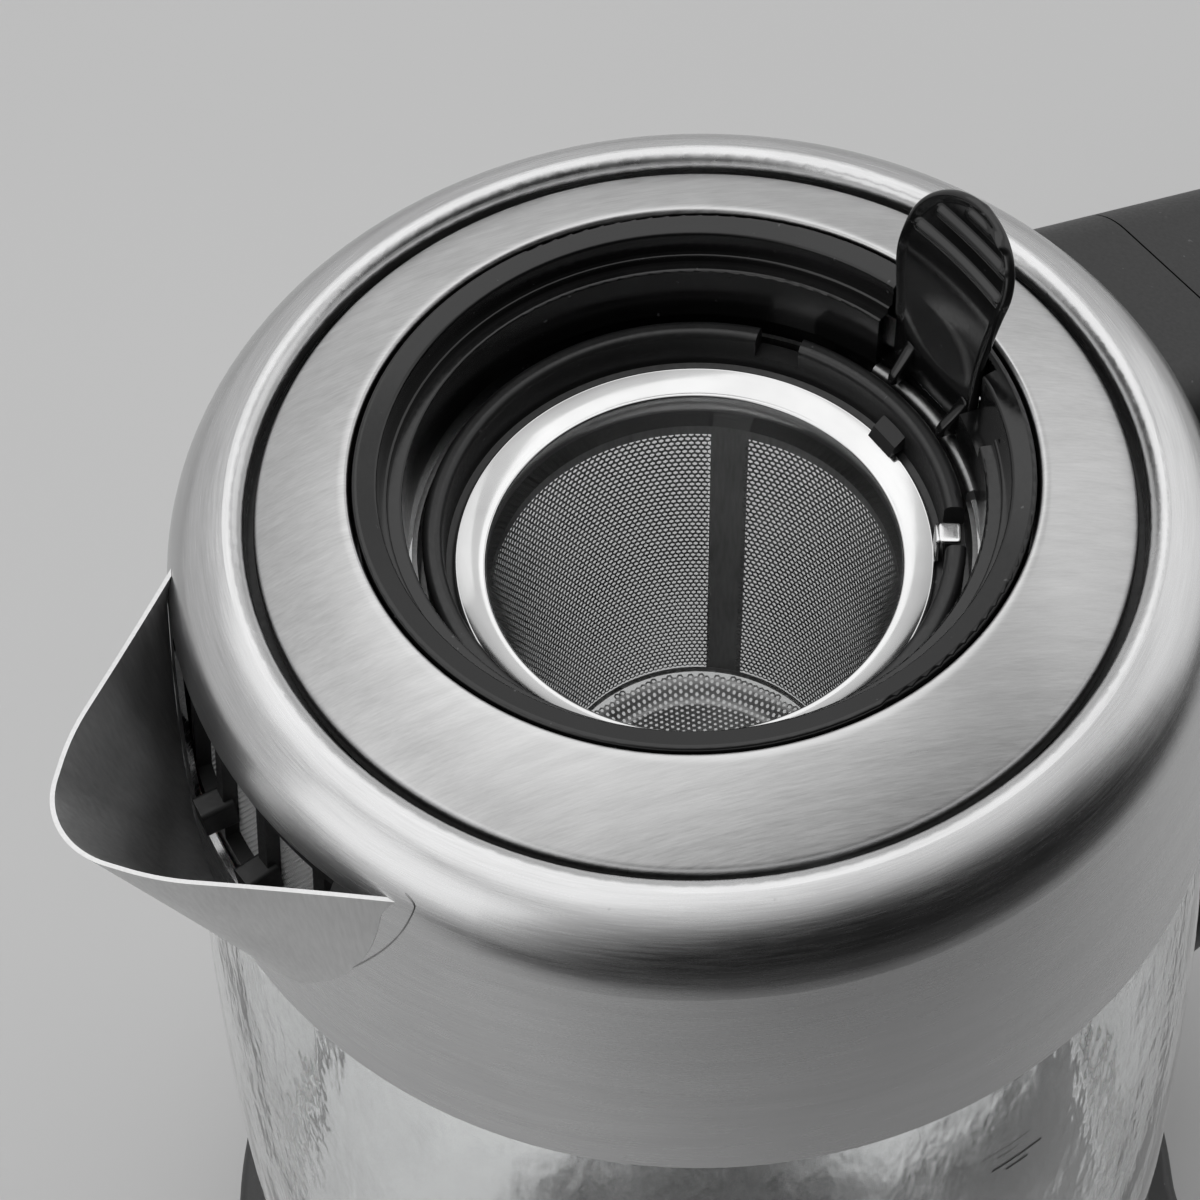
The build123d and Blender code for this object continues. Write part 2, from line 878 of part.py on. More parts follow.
def wall_radius(z, inset):
    """Radius of the collar's wall at a height, measured a wall thickness or more inside."""
    joint, angle = collar_tangent(inset)
    return joint[0] + (joint[1] - z) * tan(angle)


def collar_form(inset, low):
    """Solid of revolution under the collar's outer skin, or under a skin set inwards."""
    joint, angle = collar_tangent(inset)
    radius = shoulder_radius - inset
    centre_z = shoulder_top - shoulder_radius
    half = (angle + radians(90)) / 2
    mid = (shoulder_centre + radius * cos(half), centre_z + radius * sin(half))
    crown = (shoulder_centre, centre_z + radius)
    foot = (wall_radius(low, inset), low)
    edges = [
        Line((0, 0, crown[1]), (crown[0], 0, crown[1])),
        ThreePointArc((crown[0], 0, crown[1]), (mid[0], 0, mid[1]), (joint[0], 0, joint[1])),
        Line((joint[0], 0, joint[1]), (foot[0], 0, foot[1])),
        Line((foot[0], 0, foot[1]), (0, 0, foot[1])),
        Line((0, 0, foot[1]), (0, 0, crown[1])),
    ]
    return revolve(make_face(edges), Axis.Z)


def steel_collar():
    """Drawn steel collar: rolled groove edge, round shoulder, flared wall, pouring mouth."""
    skin = collar_form(0, -collar_drop) - collar_form(sheet, -collar_drop - 1)
    skin = skin - rod(groove_outer, -BIG, BIG)
    skin = skin + tube(groove_outer + sheet, groove_outer, frame_top + hem_gap, shoulder_top - hem_lap)
    rim = skin.edges().filter_by(GeomType.CIRCLE).filter_by(
        lambda e: e.center().Z > 1 and abs(e.radius - groove_outer) < 0.01
    )
    skin = fillet(rim, groove_roll)
    skin = skin - spout_mouth()
    for z in handle_screw_levels():
        hole = Cylinder(screw_radius + screw_hole_gap, 2 * shoulder_radius)
        skin = skin - Pos(wall_radius(z, 0), 0, z) * Rot(0, 90, 0) * hole
    return skin


def handle_screw_levels():
    """Heights of the two screws that hold the handle to the collar."""
    middle = handle_top - handle_screw_shift
    return [middle + handle_screw_spread / 2, middle - handle_screw_spread / 2]


def spout_mouth():
    """Cutter for the pouring mouth: the inside of the spout, a margin smaller all round."""
    body = spout_form(sheet + mouth_margin, spout_top)
    floor = Box(BIG, BIG, BIG, align=(CENTRE, CENTRE, HIGH))
    ceiling = Box(BIG, BIG, BIG, align=(CENTRE, CENTRE, LOW))
    return body - Pos(0, 0, -mouth_drop) * floor - Pos(0, 0, mouth_top()) * ceiling


def mouth_top():
    """Height of the mouth's upper edge, on the round of the shoulder."""
    return shoulder_top - shoulder_radius + mouth_rise


def spout_section(inset, tip, plan):
    """Plan of the spout, closed on the jug's side: round nose, steep shoulders, flat flanks.

    The plan gives the nose's radius, the half angles of shoulders and flanks, and how far
    behind the tip they meet.
    """
    nose_radius, shoulder_angle, flank_angle, knee = plan
    steep = radians(shoulder_angle)
    flank = radians(flank_angle)
    centre = tip - nose_radius
    nose = nose_radius - inset
    middle = (steep + flank) / 2
    step = inset / cos((steep - flank) / 2)
    knee_x = tip - knee - step * sin(middle)
    knee_y = (centre + nose_radius / sin(steep) - tip + knee) * tan(steep) - step * cos(middle)
    apex = centre + nose / sin(steep)
    half = knee_y + (knee_x - spout_root) * tan(flank)
    left = [(-spout_root, half), (-knee_x, knee_y)]
    right = [(-knee_x, -knee_y), (-spout_root, -half)]
    knee_round = spout_knee_round - inset
    outline = FilletPolyline(
        *left, (-apex, 0), *right, radius=[0, knee_round, nose, knee_round, 0], close=True
    )
    return make_face(outline)


def spout_form(inset, high):
    """Solid under the spout's skin, narrowing down to a point on the collar's wall."""
    low = -spout_drop
    foot_tip = wall_radius(low, 0)
    slope = (lip_tip - foot_tip) / (lip_level - low)
    top_tip = lip_tip + slope * (high - lip_level)
    upper = spout_section(inset, top_tip, lip_plan)
    lower = spout_section(inset, foot_tip, spout_foot_plan)
    return loft([Pos(0, 0, high) * upper, Pos(0, 0, low) * lower], ruled=True)


def spout():
    """Folded sheet spout, welded to the collar, with a level lip."""
    shell = spout_form(0, spout_top) - spout_form(spout_sheet, spout_top)
    shell = shell - collar_form(-spout_weld_gap, -collar_drop - lug_rise)
    tilt = radians(lip_fall)
    lip = Plane(origin=(-lip_tip, 0, lip_level), z_dir=(sin(tilt), 0, cos(tilt)))
    shell = shell - lip * Box(BIG, BIG, BIG, align=(CENTRE, CENTRE, LOW))
    pieces = shell.solids().sort_by(lambda s: s.volume)
    return pieces[-1]


def strainer_ring(near, far, low, high, sweep):
    """Strip that follows the inside of the collar's wall at the spout."""
    outline = [
        (wall_radius(low, near), low, 0),
        (wall_radius(high, near), high, 0),
        (wall_radius(high, far), high, 0),
        (wall_radius(low, far), low, 0),
    ]
    return Rot(0, 0, 180 - sweep / 2) * turned(outline, sweep)


def spout_strainer_frame():
    """Black frame with a row of windows; two lugs beside the middle one hold it in the mouth."""
    near = sheet + strainer_gap
    far = near + strainer_thickness
    frame = strainer_ring(near, far, strainer_bottom, strainer_top, strainer_angle)
    post = degrees(window_post / wall_radius(strainer_bottom, far))
    pitch = (strainer_angle - post) / strainer_windows
    low = strainer_bottom + window_rim
    high = strainer_top - window_rim
    for index in range(strainer_windows):
        start = 180 - strainer_angle / 2 + post + index * pitch
        inside = wall_radius(high, far) - window_rim
        outside = wall_radius(low, near) + window_rim
        cut = wedge(start, start + pitch - post, inside, outside, low, high)
        frame = frame - cut
    for side in (-1, 1):
        lug = Box(*lug_size)
        lug = fillet(lug.edges().filter_by(Axis.X), lug_round)
        level = -mouth_drop + lug_rise
        place = Rot(0, 0, side * pitch / 2) * Pos(lug_sink - wall_radius(level, 0), 0, level)
        frame = frame + place * lug
    return frame


def spout_strainer_mesh():
    """Fine mesh behind the strainer's windows."""
    near = sheet + strainer_gap + strainer_thickness + mesh_gap
    low = strainer_bottom + window_rim / 2
    high = strainer_top - window_rim / 2
    return strainer_ring(near, near + mesh_thickness, low, high, strainer_angle - mesh_inset_angle)


def glass_body():
    """Blown glass cylinder: a short neck under the collar, then a gentle convex flare."""
    top = -collar_drop + glass_tuck
    shoulder = wall_radius(top, sheet) - seal_thickness
    (collar_r, collar_z), (belly_r, belly_z), (foot_r, foot_z) = glass_curve()
    edges = []
    for inset in (0, glass_thickness):
        neck = (shoulder - inset, 0, top)
        collar = (collar_r - inset, 0, collar_z)
        belly = (belly_r - inset, 0, belly_z)
        end = (foot_r - inset, 0, foot_z)
        edges.append(Line(neck, collar))
        edges.append(ThreePointArc(collar, belly, end))
    edges.append(Line((shoulder, 0, top), (shoulder - glass_thickness, 0, top)))
    edges.append(Line((foot_r, 0, foot_z), (foot_r - glass_thickness, 0, foot_z)))
    return revolve(make_face(edges), Axis.Z)


def glass_curve():
    """Three points (radius, height) of the glass's outside: under the collar, belly, foot."""
    top_radius = wall_radius(-collar_drop, sheet) - seal_thickness
    middle = (top_radius + glass_foot_radius) / 2 + glass_belly
    foot = -collar_drop - glass_visible - glass_seat
    return (
        (top_radius, -collar_drop),
        (middle, -collar_drop - glass_belly_drop),
        (glass_foot_radius, foot),
    )


def glass_radius(z):
    """Outer radius of the glass at a height, on the circle through its three points."""
    (r1, z1), (r2, z2), (r3, z3) = glass_curve()
    double_area = 2 * (r1 * (z2 - z3) + r2 * (z3 - z1) + r3 * (z1 - z2))
    s1, s2, s3 = (r * r + h * h for r, h in glass_curve())
    centre_r = (s1 * (z2 - z3) + s2 * (z3 - z1) + s3 * (z1 - z2)) / double_area
    centre_z = (s1 * (r3 - r2) + s2 * (r1 - r3) + s3 * (r2 - r1)) / double_area
    arc_radius = hypot(r1 - centre_r, z1 - centre_z)
    return centre_r + sqrt(arc_radius**2 - (z - centre_z) ** 2)


def glass_seal():
    """Silicone sleeve between the glass and the collar, with a lip over the glass's edge."""
    top = -collar_drop + glass_tuck
    low = -collar_drop + seal_thickness
    cap = top + seal_cap
    outer = sheet + seal_fit
    inner = sheet + seal_thickness - seal_fit
    lip = wall_radius(top, inner) - glass_thickness
    return turned(
        [
            (wall_radius(low, outer), low, 0),
            (wall_radius(cap, outer), cap, 0),
            (lip, cap, 0),
            (lip, top + seal_fit, 0),
            (wall_radius(top, inner), top + seal_fit, 0),
            (wall_radius(low, inner), low, 0),
        ]
    )


def inner_frame():
    """Black ring inside the shoulder that carries the plate, the neck ring and the collar."""
    low = frame_top - frame_thickness
    ring = turned(
        [
            (frame_inner, low, 0),
            (frame_outer, low, 0),
            (frame_outer, frame_top, 0),
            (frame_inner, frame_top, 0),
        ]
    )
    middle = (frame_inner + frame_outer) / 2
    start = 180 / frame_rib_count
    ribs = [
        place * Pos(0, 0, low) * Box(*frame_rib, align=(CENTRE, CENTRE, HIGH))
        for place in PolarLocations(middle, frame_rib_count, start_angle=start)
    ]
    return joined([ring] + ribs)


def top_plate():
    """Shallow steel dome with a turned-down hem and a rolled lip round the neck."""
    hem = plate_radius - sheet
    width = plate_radius - lip_radius
    crown = plate_radius - plate_crown_share * width
    bend = plate_bend_share * width
    return turned(
        [
            (plate_radius, -plate_hem, 0),
            (plate_radius, 0, plate_edge_round),
            (crown, plate_crown_height, bend),
            (lip_radius + lip_roll, lip_height, lip_roll),
            (lip_radius, lip_height, lip_edge_round),
            (lip_radius, lip_height - lip_depth, 0),
            (lip_radius + lip_undercut, lip_height - lip_depth, 0),
            (lip_radius + sheet, lip_height - sheet, 0),
            (crown, plate_crown_height - sheet, bend - sheet),
            (hem, -sheet, 0),
            (hem, -plate_hem, 0),
        ]
    )


def neck_ring():
    """Stepped black neck with a slot at the back for the infuser's tab."""
    outer = neck_outer
    flange = outer + neck_flange
    flange_low = frame_top + neck_flange_gap
    flange_top = frame_top + neck_flange_thickness
    ring = turned(
        [
            (outer, flange_top, 0),
            (outer, lip_height, neck_edge_round),
            (neck_top_inner, lip_height - neck_bevel, neck_edge_round),
            (neck_top_inner, neck_step, 0),
            (neck_step_inner, neck_step, neck_step_round),
            (neck_step_inner, neck_step - neck_step_drop, 0),
            (neck_inner, neck_step - neck_step_drop, neck_step_round),
            (neck_inner, -neck_wall_drop, 0),
            (neck_skirt_inner, -neck_wall_drop, 0),
            (neck_skirt_inner, -neck_drop, 0),
            (neck_skirt_outer, -neck_drop, 0),
            (neck_skirt_outer, flange_low, 0),
            (flange, flange_low, 0),
            (flange, flange_top, 0),
        ]
    )
    slot = wedge(slot_right, slot_left, neck_inner - 2, slot_radius, -neck_wall_drop, lip_height + 1)
    ledge_reach = neck_top_inner + ledge_cut_margin
    ledge = wedge(ledge_cut_end, slot_right, neck_inner - 2, ledge_reach, -ledge_cut_depth, neck_step + 1)
    return ring - slot - ledge


def neck_band():
    """Steel liner of the neck: a rolled bead where the slot bares it, a seat at its foot."""
    outer = band_outer
    wall = outer - band_sheet
    inner = wall - band_flange
    top = -neck_wall_drop - band_top_drop
    bead_z = -neck_wall_drop - bead_radius - bead_gap
    tube_part = turned(
        [
            (wall, top, 0),
            (outer, top, 0),
            (outer, -band_drop, 0),
            (inner, -band_drop, 0),
            (inner, -band_drop + band_sheet, 0),
            (wall, -band_drop + band_sheet, 0),
        ]
    )
    rise = wedge(ledge_cut_end, slot_left, wall, outer, top - bead_radius, bead_z)
    section = Pos(bead_centre, 0, bead_z) * Rot(90, 0, 0) * Circle(bead_radius)
    bead = Rot(0, 0, ledge_cut_end) * revolve(section, Axis.Z, slot_left - ledge_cut_end)
    return tube_part + rise + bead


# ---------------------------------------------------------------- infuser
def infuser_holder():
    """Black carrier ring: round rim with two notches, a seat and a hook for the basket."""
    foot = -band_drop + band_sheet + holder_gap
    ring = turned(
        [
            (holder_seat_inner, foot, 0),
            (holder_outer, foot, 0),
            (holder_outer, holder_top, holder_round),
            (holder_inner, holder_top, holder_round),
            (holder_inner, flange_underside(holder_inner) - seat_gap, 0),
            (holder_seat_inner, flange_underside(holder_seat_inner) - seat_gap, 0),
        ]
    )
    notch = Box(10, notch_width / 2, notch_depth * 2)
    for side in (-1, 1):
        place = Rot(0, 0, side * notch_angle) * Pos(holder_outer, 0, holder_top)
        ring = ring - place * notch
    return ring + infuser_hook()


def infuser_hook():
    """Wedge on the holder's inner wall that reaches over the basket's rim."""
    low = flange_edge + hook_gap
    reach = holder_inner + hook_root
    outline = [
        (hook_inner, 0, low),
        (reach, 0, low),
        (reach, 0, low + hook_height),
        (hook_inner + hook_nose, 0, low + hook_height * hook_nose_share),
    ]
    side = make_face(Polyline(*outline, close=True))
    return extrude(side, hook_width / 2, both=True)


def flange_underside(radius):
    """Height of the flange's sloping underside at a radius."""
    slope = (flange_fall + flange_edge_round) / (flange_outer - flange_inner)
    return flange_edge - flange_sheet - (flange_outer - radius) * slope


def basket_flange():
    """Polished steel rim of the basket: a plain band below it, a lug in each notch."""
    inner = flange_inner - basket_wall
    band_low = flange_edge - flange_fall - band_height
    drop = flange_edge - flange_fall
    flange = turned(
        [
            (flange_outer, flange_edge - flange_sheet, 0),
            (flange_outer, flange_edge, flange_edge_round),
            (flange_inner - flange_roll, drop + flange_edge_round, flange_roll_round),
            (inner, drop - flange_roll, 0),
            (inner, band_low, 0),
            (flange_inner, band_low, 0),
            (flange_inner, flange_underside(flange_inner), 0),
        ]
    )
    for side in (-1, 1):
        flange = flange + flange_lug(side * notch_angle)
    return flange


def flange_lug(angle):
    """Steel lug that rises from the flange's edge and lies over a notch of the holder."""
    half = degrees(lug_width / 2 / flange_outer)
    root = flange_outer - flange_sheet
    high = holder_top - lug_depth
    span = (angle - half, angle + half)
    upright = wedge(*span, root, flange_outer, flange_edge - flange_sheet, high)
    return upright + wedge(*span, root, holder_outer - lug_margin, high - flange_sheet, high)


def basket_wall_radius(z):
    """Outer radius of the tapered basket at a height."""
    top = flange_edge - flange_fall - band_height
    share = (z - basket_bottom) / (top - basket_bottom)
    return basket_bottom_radius + share * (flange_inner - basket_bottom_radius)


def infuser_basket():
    """Tapered basket wall; the weld strip up its side stands slightly proud."""
    top = flange_edge - flange_fall - band_height
    wall = turned(
        [
            (flange_inner - basket_wall, top, 0),
            (flange_inner, top, 0),
            (basket_bottom_radius, basket_bottom, 0),
            (basket_bottom_radius - basket_wall, basket_bottom, 0),
        ]
    )
    half = degrees(seam_strip_width / 2 / flange_inner)
    strip = turned(
        [
            (flange_inner - basket_wall / 2, top, 0),
            (flange_inner + basket_wall / 2, top, 0),
            (basket_bottom_radius + basket_wall / 2, basket_bottom, 0),
            (basket_bottom_radius - basket_wall / 2, basket_bottom, 0),
        ],
        2 * half,
    )
    return wall + Rot(0, 0, seam_strip_angle - half) * strip


def infuser_base():
    """Dished bottom of the basket with a rounded rim."""
    top = basket_bottom
    floor = top - dish_depth
    outer = basket_bottom_radius
    return turned(
        [
            (0, floor, 0),
            (outer - dish_flat, floor, dish_depth),
            (outer - dish_lip, top, 0),
            (outer, top, 0),
            (outer, top - dish_edge, dish_edge_round),
            (outer - dish_rim, floor - basket_wall, dish_depth),
            (0, floor - basket_wall, 0),
        ]
    )


def tab_curve(offset):
    """Side view of the tab: rises from its foot and leans out in a shallow curve."""
    start = tab_foot_inner + offset
    return [
        (start, 0, -neck_wall_drop + holder_gap),
        (start, 0, tab_bend_start),
        (start + tab_mid_lean, 0, tab_mid_height),
        (start + tab_lean, 0, tab_height),
    ]


def tab_strip(near, far):
    """Curved strip between two offsets of the tab's side view, wider than the tab."""
    front = tab_curve(near)
    back = tab_curve(far)
    edges = [
        Line(front[0], front[1]),
        Spline(front[1:], tangents=[(0, 0, 1), (tab_end_slope, 0, 1)]),
        Line(front[-1], back[-1]),
        Spline(back[1:], tangents=[(0, 0, 1), (tab_end_slope, 0, 1)]),
        Line(back[1], back[0]),
        Line(back[0], front[0]),
    ]
    return extrude(make_face(edges), tab_width, both=True)


def tab_outline(inset):
    """Front view of the tab: a waist above the foot and a round, wider top."""
    half = tab_width / 2 - inset
    waist = tab_waist / 2 - inset
    low = -neck_wall_drop + holder_gap + inset
    centre = tab_height - tab_width / 2
    up = (0, 0, 1)
    down = (0, 0, -1)
    edges = [
        Line((0, -waist, low), (0, -waist, tab_waist_height)),
        Spline([(0, -waist, tab_waist_height), (0, -half, centre)], tangents=[up, up]),
        ThreePointArc((0, -half, centre), (0, 0, centre + half), (0, half, centre)),
        Spline([(0, half, centre), (0, waist, tab_waist_height)], tangents=[down, down]),
        Line((0, waist, tab_waist_height), (0, waist, low)),
        Line((0, waist, low), (0, -waist, low)),
    ]
    return extrude(make_face(edges), BIG, both=True)


def lift_tab():
    """Thumb tab of the infuser: spoon-shaped blade, raised rim, grip ribs and two gussets."""
    blade = tab_strip(0, tab_thickness) & tab_outline(0)
    rim = tab_outline(0) - tab_outline(tab_rim)
    rim = tab_strip(-tab_rim_height, tab_thickness) & rim
    above = Pos(0, 0, tab_rim_start) * Box(BIG, BIG, BIG, align=(CENTRE, CENTRE, LOW))
    body = blade + (rim & above)
    bar = Box(BIG, BIG, tab_rib_width)
    rib = tab_strip(-tab_rim_height * tab_rib_share, tab_rib_root) & tab_outline(tab_rib_inset)
    for index in range(tab_rib_count):
        level = tab_height - tab_rib_start - index * tab_rib_pitch
        body = body + (rib & (Pos(tab_foot_inner, 0, level) * bar))
    low = -neck_wall_drop + holder_gap
    body = body + wedge(-tab_foot_angle, tab_foot_angle, tab_foot_inner, tab_foot_outer, low, tab_foot_top)
    for side in (-1, 1):
        body = body + Rot(0, 0, side * gusset_angle) * tab_gusset()
    return body


def tab_gusset():
    """Small web from the tab's foot over the neck's bead to the holder's rim."""
    low = -neck_wall_drop + holder_gap
    outline = [
        (holder_outer + 0.01, 0, low),
        (tab_foot_inner + gusset_root, 0, low),
        (tab_foot_inner + gusset_root, 0, gusset_top),
        (holder_outer + 0.01, 0, holder_top + gusset_toe),
    ]
    return extrude(make_face(Polyline(*outline, close=True)), gusset_thickness / 2, both=True)


# ---------------------------------------------------------------- handle
def handle_path(inward):
    """Centre line of the handle, or the same line moved towards the jug."""
    slope = radians(handle_slope)
    high = handle_top - inward / cos(slope)
    corner = handle_reach - inward
    points = [
        (handle_end, 0, high),
        (corner, 0, high - (corner - handle_end) * tan(slope)),
        (corner, 0, handle_foot_level + inward),
        (handle_end, 0, handle_foot_level + inward),
    ]
    return FilletPolyline(*points, radius=[handle_bend - inward] * 2)


def handle_body():
    """Whole handle: one rounded section carried along its bent, sloping centre line."""
    slope = radians(handle_slope)
    along = (cos(slope), 0, -sin(slope))
    start = Plane(origin=(handle_end, 0, handle_top), x_dir=(0, 1, 0), z_dir=along)
    section = start * RectangleRounded(handle_width, handle_thickness, handle_round)
    body = sweep(section, path=handle_path(0))
    stub = extrude(section, -handle_stub)
    return body + stub


def below(x_start, x_end, low, high):
    """Box between two distances from the axis and two heights, across the handle."""
    size = (x_end - x_start, 2 * handle_width, high - low)
    return Pos(x_start, 0, low) * Box(*size, align=(LOW, CENTRE, LOW))


def bridge_end():
    """Distance from the axis to the seam between the bridge and the grip."""
    return wall_radius(handle_top, 0) + bridge_length


def handle_bridge():
    """Upper end of the handle, shaped to the collar's wall."""
    piece = handle_body() & below(0, bridge_end(), -BIG / 4, BIG / 4)
    piece = piece - collar_form(-handle_fit, -collar_drop - 10)
    for z in handle_screw_levels():
        hole = Cylinder(screw_radius, BIG / 4)
        piece = piece - Pos(wall_radius(z, 0), 0, z) * Rot(0, 90, 0) * hole
    return piece


def handle_foot():
    """Lower end of the handle, shaped to the steel band and the glass above it."""
    piece = handle_body() & below(0, handle_foot_end, -BIG, handle_foot_level + handle_width)
    band = rod(ring_radius + handle_fit, -BIG, -collar_drop - glass_visible + 1)
    return piece - band - rod(glass_foot_radius + glass_clearance, -BIG, BIG)


def grip_body():
    """Part of the handle between the bridge and the foot piece."""
    piece = handle_body() - below(0, bridge_end() + seam_gap, -BIG / 4, BIG / 4)
    return piece - below(0, handle_foot_end + seam_gap, -BIG, handle_foot_level + handle_width)


def liner_region():
    """Everything on the jug's side of the parting line along the handle."""
    line = handle_path(liner_depth)
    close = Polyline(line @ 1, (0, 0, (line @ 1).Z), (0, 0, (line @ 0).Z), line @ 0)
    region = make_face(line.edges() + close.edges())
    return extrude(region, handle_width, both=True)


def handle_grip():
    """Outer shell of the grip."""
    return grip_body() - liner_region()


def handle_liner():
    """Softer liner on the finger side of the grip."""
    return grip_body() & liner_region()


def handle_screws():
    """Two screws through the collar's wall into the handle's bridge."""
    screws = []
    for z in handle_screw_levels():
        start = wall_radius(z, sheet) - handle_screw_sink
        length = bridge_end() - seam_gap - start
        shank = Cylinder(screw_radius, length, align=(CENTRE, CENTRE, LOW))
        head = Cylinder(screw_head_radius, screw_head_height, align=(CENTRE, CENTRE, HIGH))
        place = Pos(start, 0, z) * Rot(0, 90, 0)
        screws.append(place * (shank + head))
    return screws


# ---------------------------------------------------------------- writing
def named_parts():
    """Every node with its solid, or its group of solids."""
    top = Pos(0, 0, plate_z)
    foot = Pos(0, 0, jug_z)
    parts = {
        "base_housing": base_housing(),
        "base_underplate": base_underplate(),
        "base_foot_ring": foot_ring(),
        "base_front_feet": front_feet(),
        "base_screws": base_screws(),
        "cord_bush": cord_bush(),
        "power_board": power_board(),
        "power_components": power_components(),
        "base_connector": base_connector(),
        "control_board": control_board(),
        "button_switches": button_switches(),
        "dial_encoder": dial_encoder(),
        "dial_knob": dial_knob(),
        "jug_connector": foot * jug_connector(),
        "jug_bottom_cover": foot * jug_bottom_cover(),
        "jug_base_ring": foot * jug_base_ring(),
        "heater_plate": foot * heater_plate(),
        "heater_seal": foot * heater_seal(),
        "heating_element": foot * heating_element(),
        "thermostat_block": foot * thermostat_block(),
        "temperature_probe": foot * temperature_probe(),
        "glass_body": top * glass_body(),
        "glass_seal": top * glass_seal(),
        "steel_collar": top * steel_collar(),
        "spout": top * spout(),
        "spout_strainer_frame": top * spout_strainer_frame(),
        "spout_strainer_mesh": top * spout_strainer_mesh(),
        "inner_frame": top * inner_frame(),
        "top_plate": top * top_plate(),
        "neck_ring": top * neck_ring(),
        "neck_band": top * neck_band(),
        "infuser_holder": top * infuser_holder(),
        "lift_tab": top * lift_tab(),
        "basket_flange": top * basket_flange(),
        "infuser_basket": top * infuser_basket(),
        "infuser_base": top * infuser_base(),
        "handle_bridge": top * handle_bridge(),
        "handle_grip": top * handle_grip(),
        "handle_liner": top * handle_liner(),
        "handle_foot": top * handle_foot(),
        "handle_screws": [top * screw for screw in handle_screws()],
    }
    for index, x in enumerate(sorted(button_places), start=1):
        parts[f"button_{index}"] = button(x)
    return parts


os.makedirs("parts", exist_ok=True)
for name, shape in named_parts().items():
    solid = Compound(children=shape) if isinstance(shape, list) else shape
    export_step(solid, f"parts/{name}.step")
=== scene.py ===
import json
import math

import bpy
import bmesh
import numpy as np
from mathutils import Matrix, Vector


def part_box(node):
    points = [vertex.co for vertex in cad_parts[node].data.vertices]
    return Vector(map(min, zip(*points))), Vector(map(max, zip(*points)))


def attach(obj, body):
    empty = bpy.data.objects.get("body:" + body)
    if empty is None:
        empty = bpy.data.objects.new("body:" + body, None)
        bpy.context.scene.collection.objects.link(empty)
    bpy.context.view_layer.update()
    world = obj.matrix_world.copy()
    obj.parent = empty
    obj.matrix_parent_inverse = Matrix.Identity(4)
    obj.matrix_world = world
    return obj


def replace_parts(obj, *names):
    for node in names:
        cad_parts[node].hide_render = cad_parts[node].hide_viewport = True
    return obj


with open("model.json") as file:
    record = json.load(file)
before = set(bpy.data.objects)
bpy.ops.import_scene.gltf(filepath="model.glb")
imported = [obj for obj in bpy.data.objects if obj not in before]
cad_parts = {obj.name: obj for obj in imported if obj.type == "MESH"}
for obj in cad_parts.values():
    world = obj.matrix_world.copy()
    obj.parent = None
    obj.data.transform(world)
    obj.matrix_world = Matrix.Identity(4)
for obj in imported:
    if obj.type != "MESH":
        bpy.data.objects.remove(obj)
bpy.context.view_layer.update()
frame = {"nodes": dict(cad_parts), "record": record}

# Dresses the tea maker: finishes for every carried part; the perforated infuser, its flange and
# tab, the top plate, the strainer's fine mesh, the spout's seam and the fill mark as surfaces of
# their own; then a plain studio. Metres, +Z up, +X handle, -Y control panel.

MM = 0.001

# ---------------------------------------------------------------- places taken from the frame
LIP_HEIGHT = 5.0 * MM                         # the plate's lip over its rim
RIM_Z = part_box("top_plate")[1].z - LIP_HEIGHT # plane of the plate's rim
basket_low, basket_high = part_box("infuser_basket")
flange_outer_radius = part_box("basket_flange")[1].x

# ---------------------------------------------------------------- camera
VIEW_AZIMUTH = -33.2
VIEW_ELEVATION = 51.68
VIEW_DISTANCE = 273.9 * MM                    # from the centre of the plate's rim
VIEW_PAN = -2.24                              # degrees, as the two angles above
VIEW_TILT = -2.66
VIEW_ROLL = -0.98
FOCAL_PIXELS = 2412.0
FRAME_PIXELS = 1200.0
SENSOR_MM = 36.0


def turned_about(vector, axis, degrees):
    """Vector turned about a unit axis: v cos a + (k x v) sin a + k (k.v)(1 - cos a)."""
    a = math.radians(degrees)
    along = axis * axis.dot(vector) * (1 - math.cos(a))
    return vector * math.cos(a) + axis.cross(vector) * math.sin(a) + along


def add_camera():
    """Camera on an orbit about the centre of the plate's rim, then panned, tilted and rolled."""
    azimuth = math.radians(VIEW_AZIMUTH)
    elevation = math.radians(VIEW_ELEVATION)
    level = Vector((math.sin(azimuth), -math.cos(azimuth), 0)) * math.cos(elevation)
    place = (level + Vector((0, 0, math.sin(elevation)))) * VIEW_DISTANCE
    forward = -place.normalized()
    right = forward.cross(Vector((0, 0, 1))).normalized()
    up = right.cross(forward)
    forward = turned_about(forward, up, -VIEW_PAN)
    right = turned_about(right, up, -VIEW_PAN)
    forward = turned_about(forward, right, VIEW_TILT)
    up = turned_about(up, right, VIEW_TILT)
    right = turned_about(right, forward, -VIEW_ROLL)
    up = turned_about(up, forward, -VIEW_ROLL)
    data = bpy.data.cameras.new("studio_camera")
    data.sensor_width = SENSOR_MM
    data.lens = FOCAL_PIXELS / FRAME_PIXELS * SENSOR_MM
    data.clip_start = 0.02
    camera = bpy.data.objects.new("studio_camera", data)
    bpy.context.scene.collection.objects.link(camera)
    rotation = np.array([right, up, -forward]).T
    matrix = np.eye(4)
    matrix[:3, :3] = rotation
    matrix[:3, 3] = place + Vector((0, 0, RIM_Z))
    camera.matrix_world = Matrix(matrix.tolist())
    bpy.context.scene.camera = camera


# ---------------------------------------------------------------- finishes
STROKE_AZIMUTH = -19.5                        # the plate's brushing runs along this azimuth


def toward(azimuth, elevation):
    """Unit vector at an azimuth from +X and an elevation, both in degrees."""
    a, e = math.radians(azimuth), math.radians(elevation)
    return Vector((math.cos(e) * math.cos(a), math.cos(e) * math.sin(a), math.sin(e)))


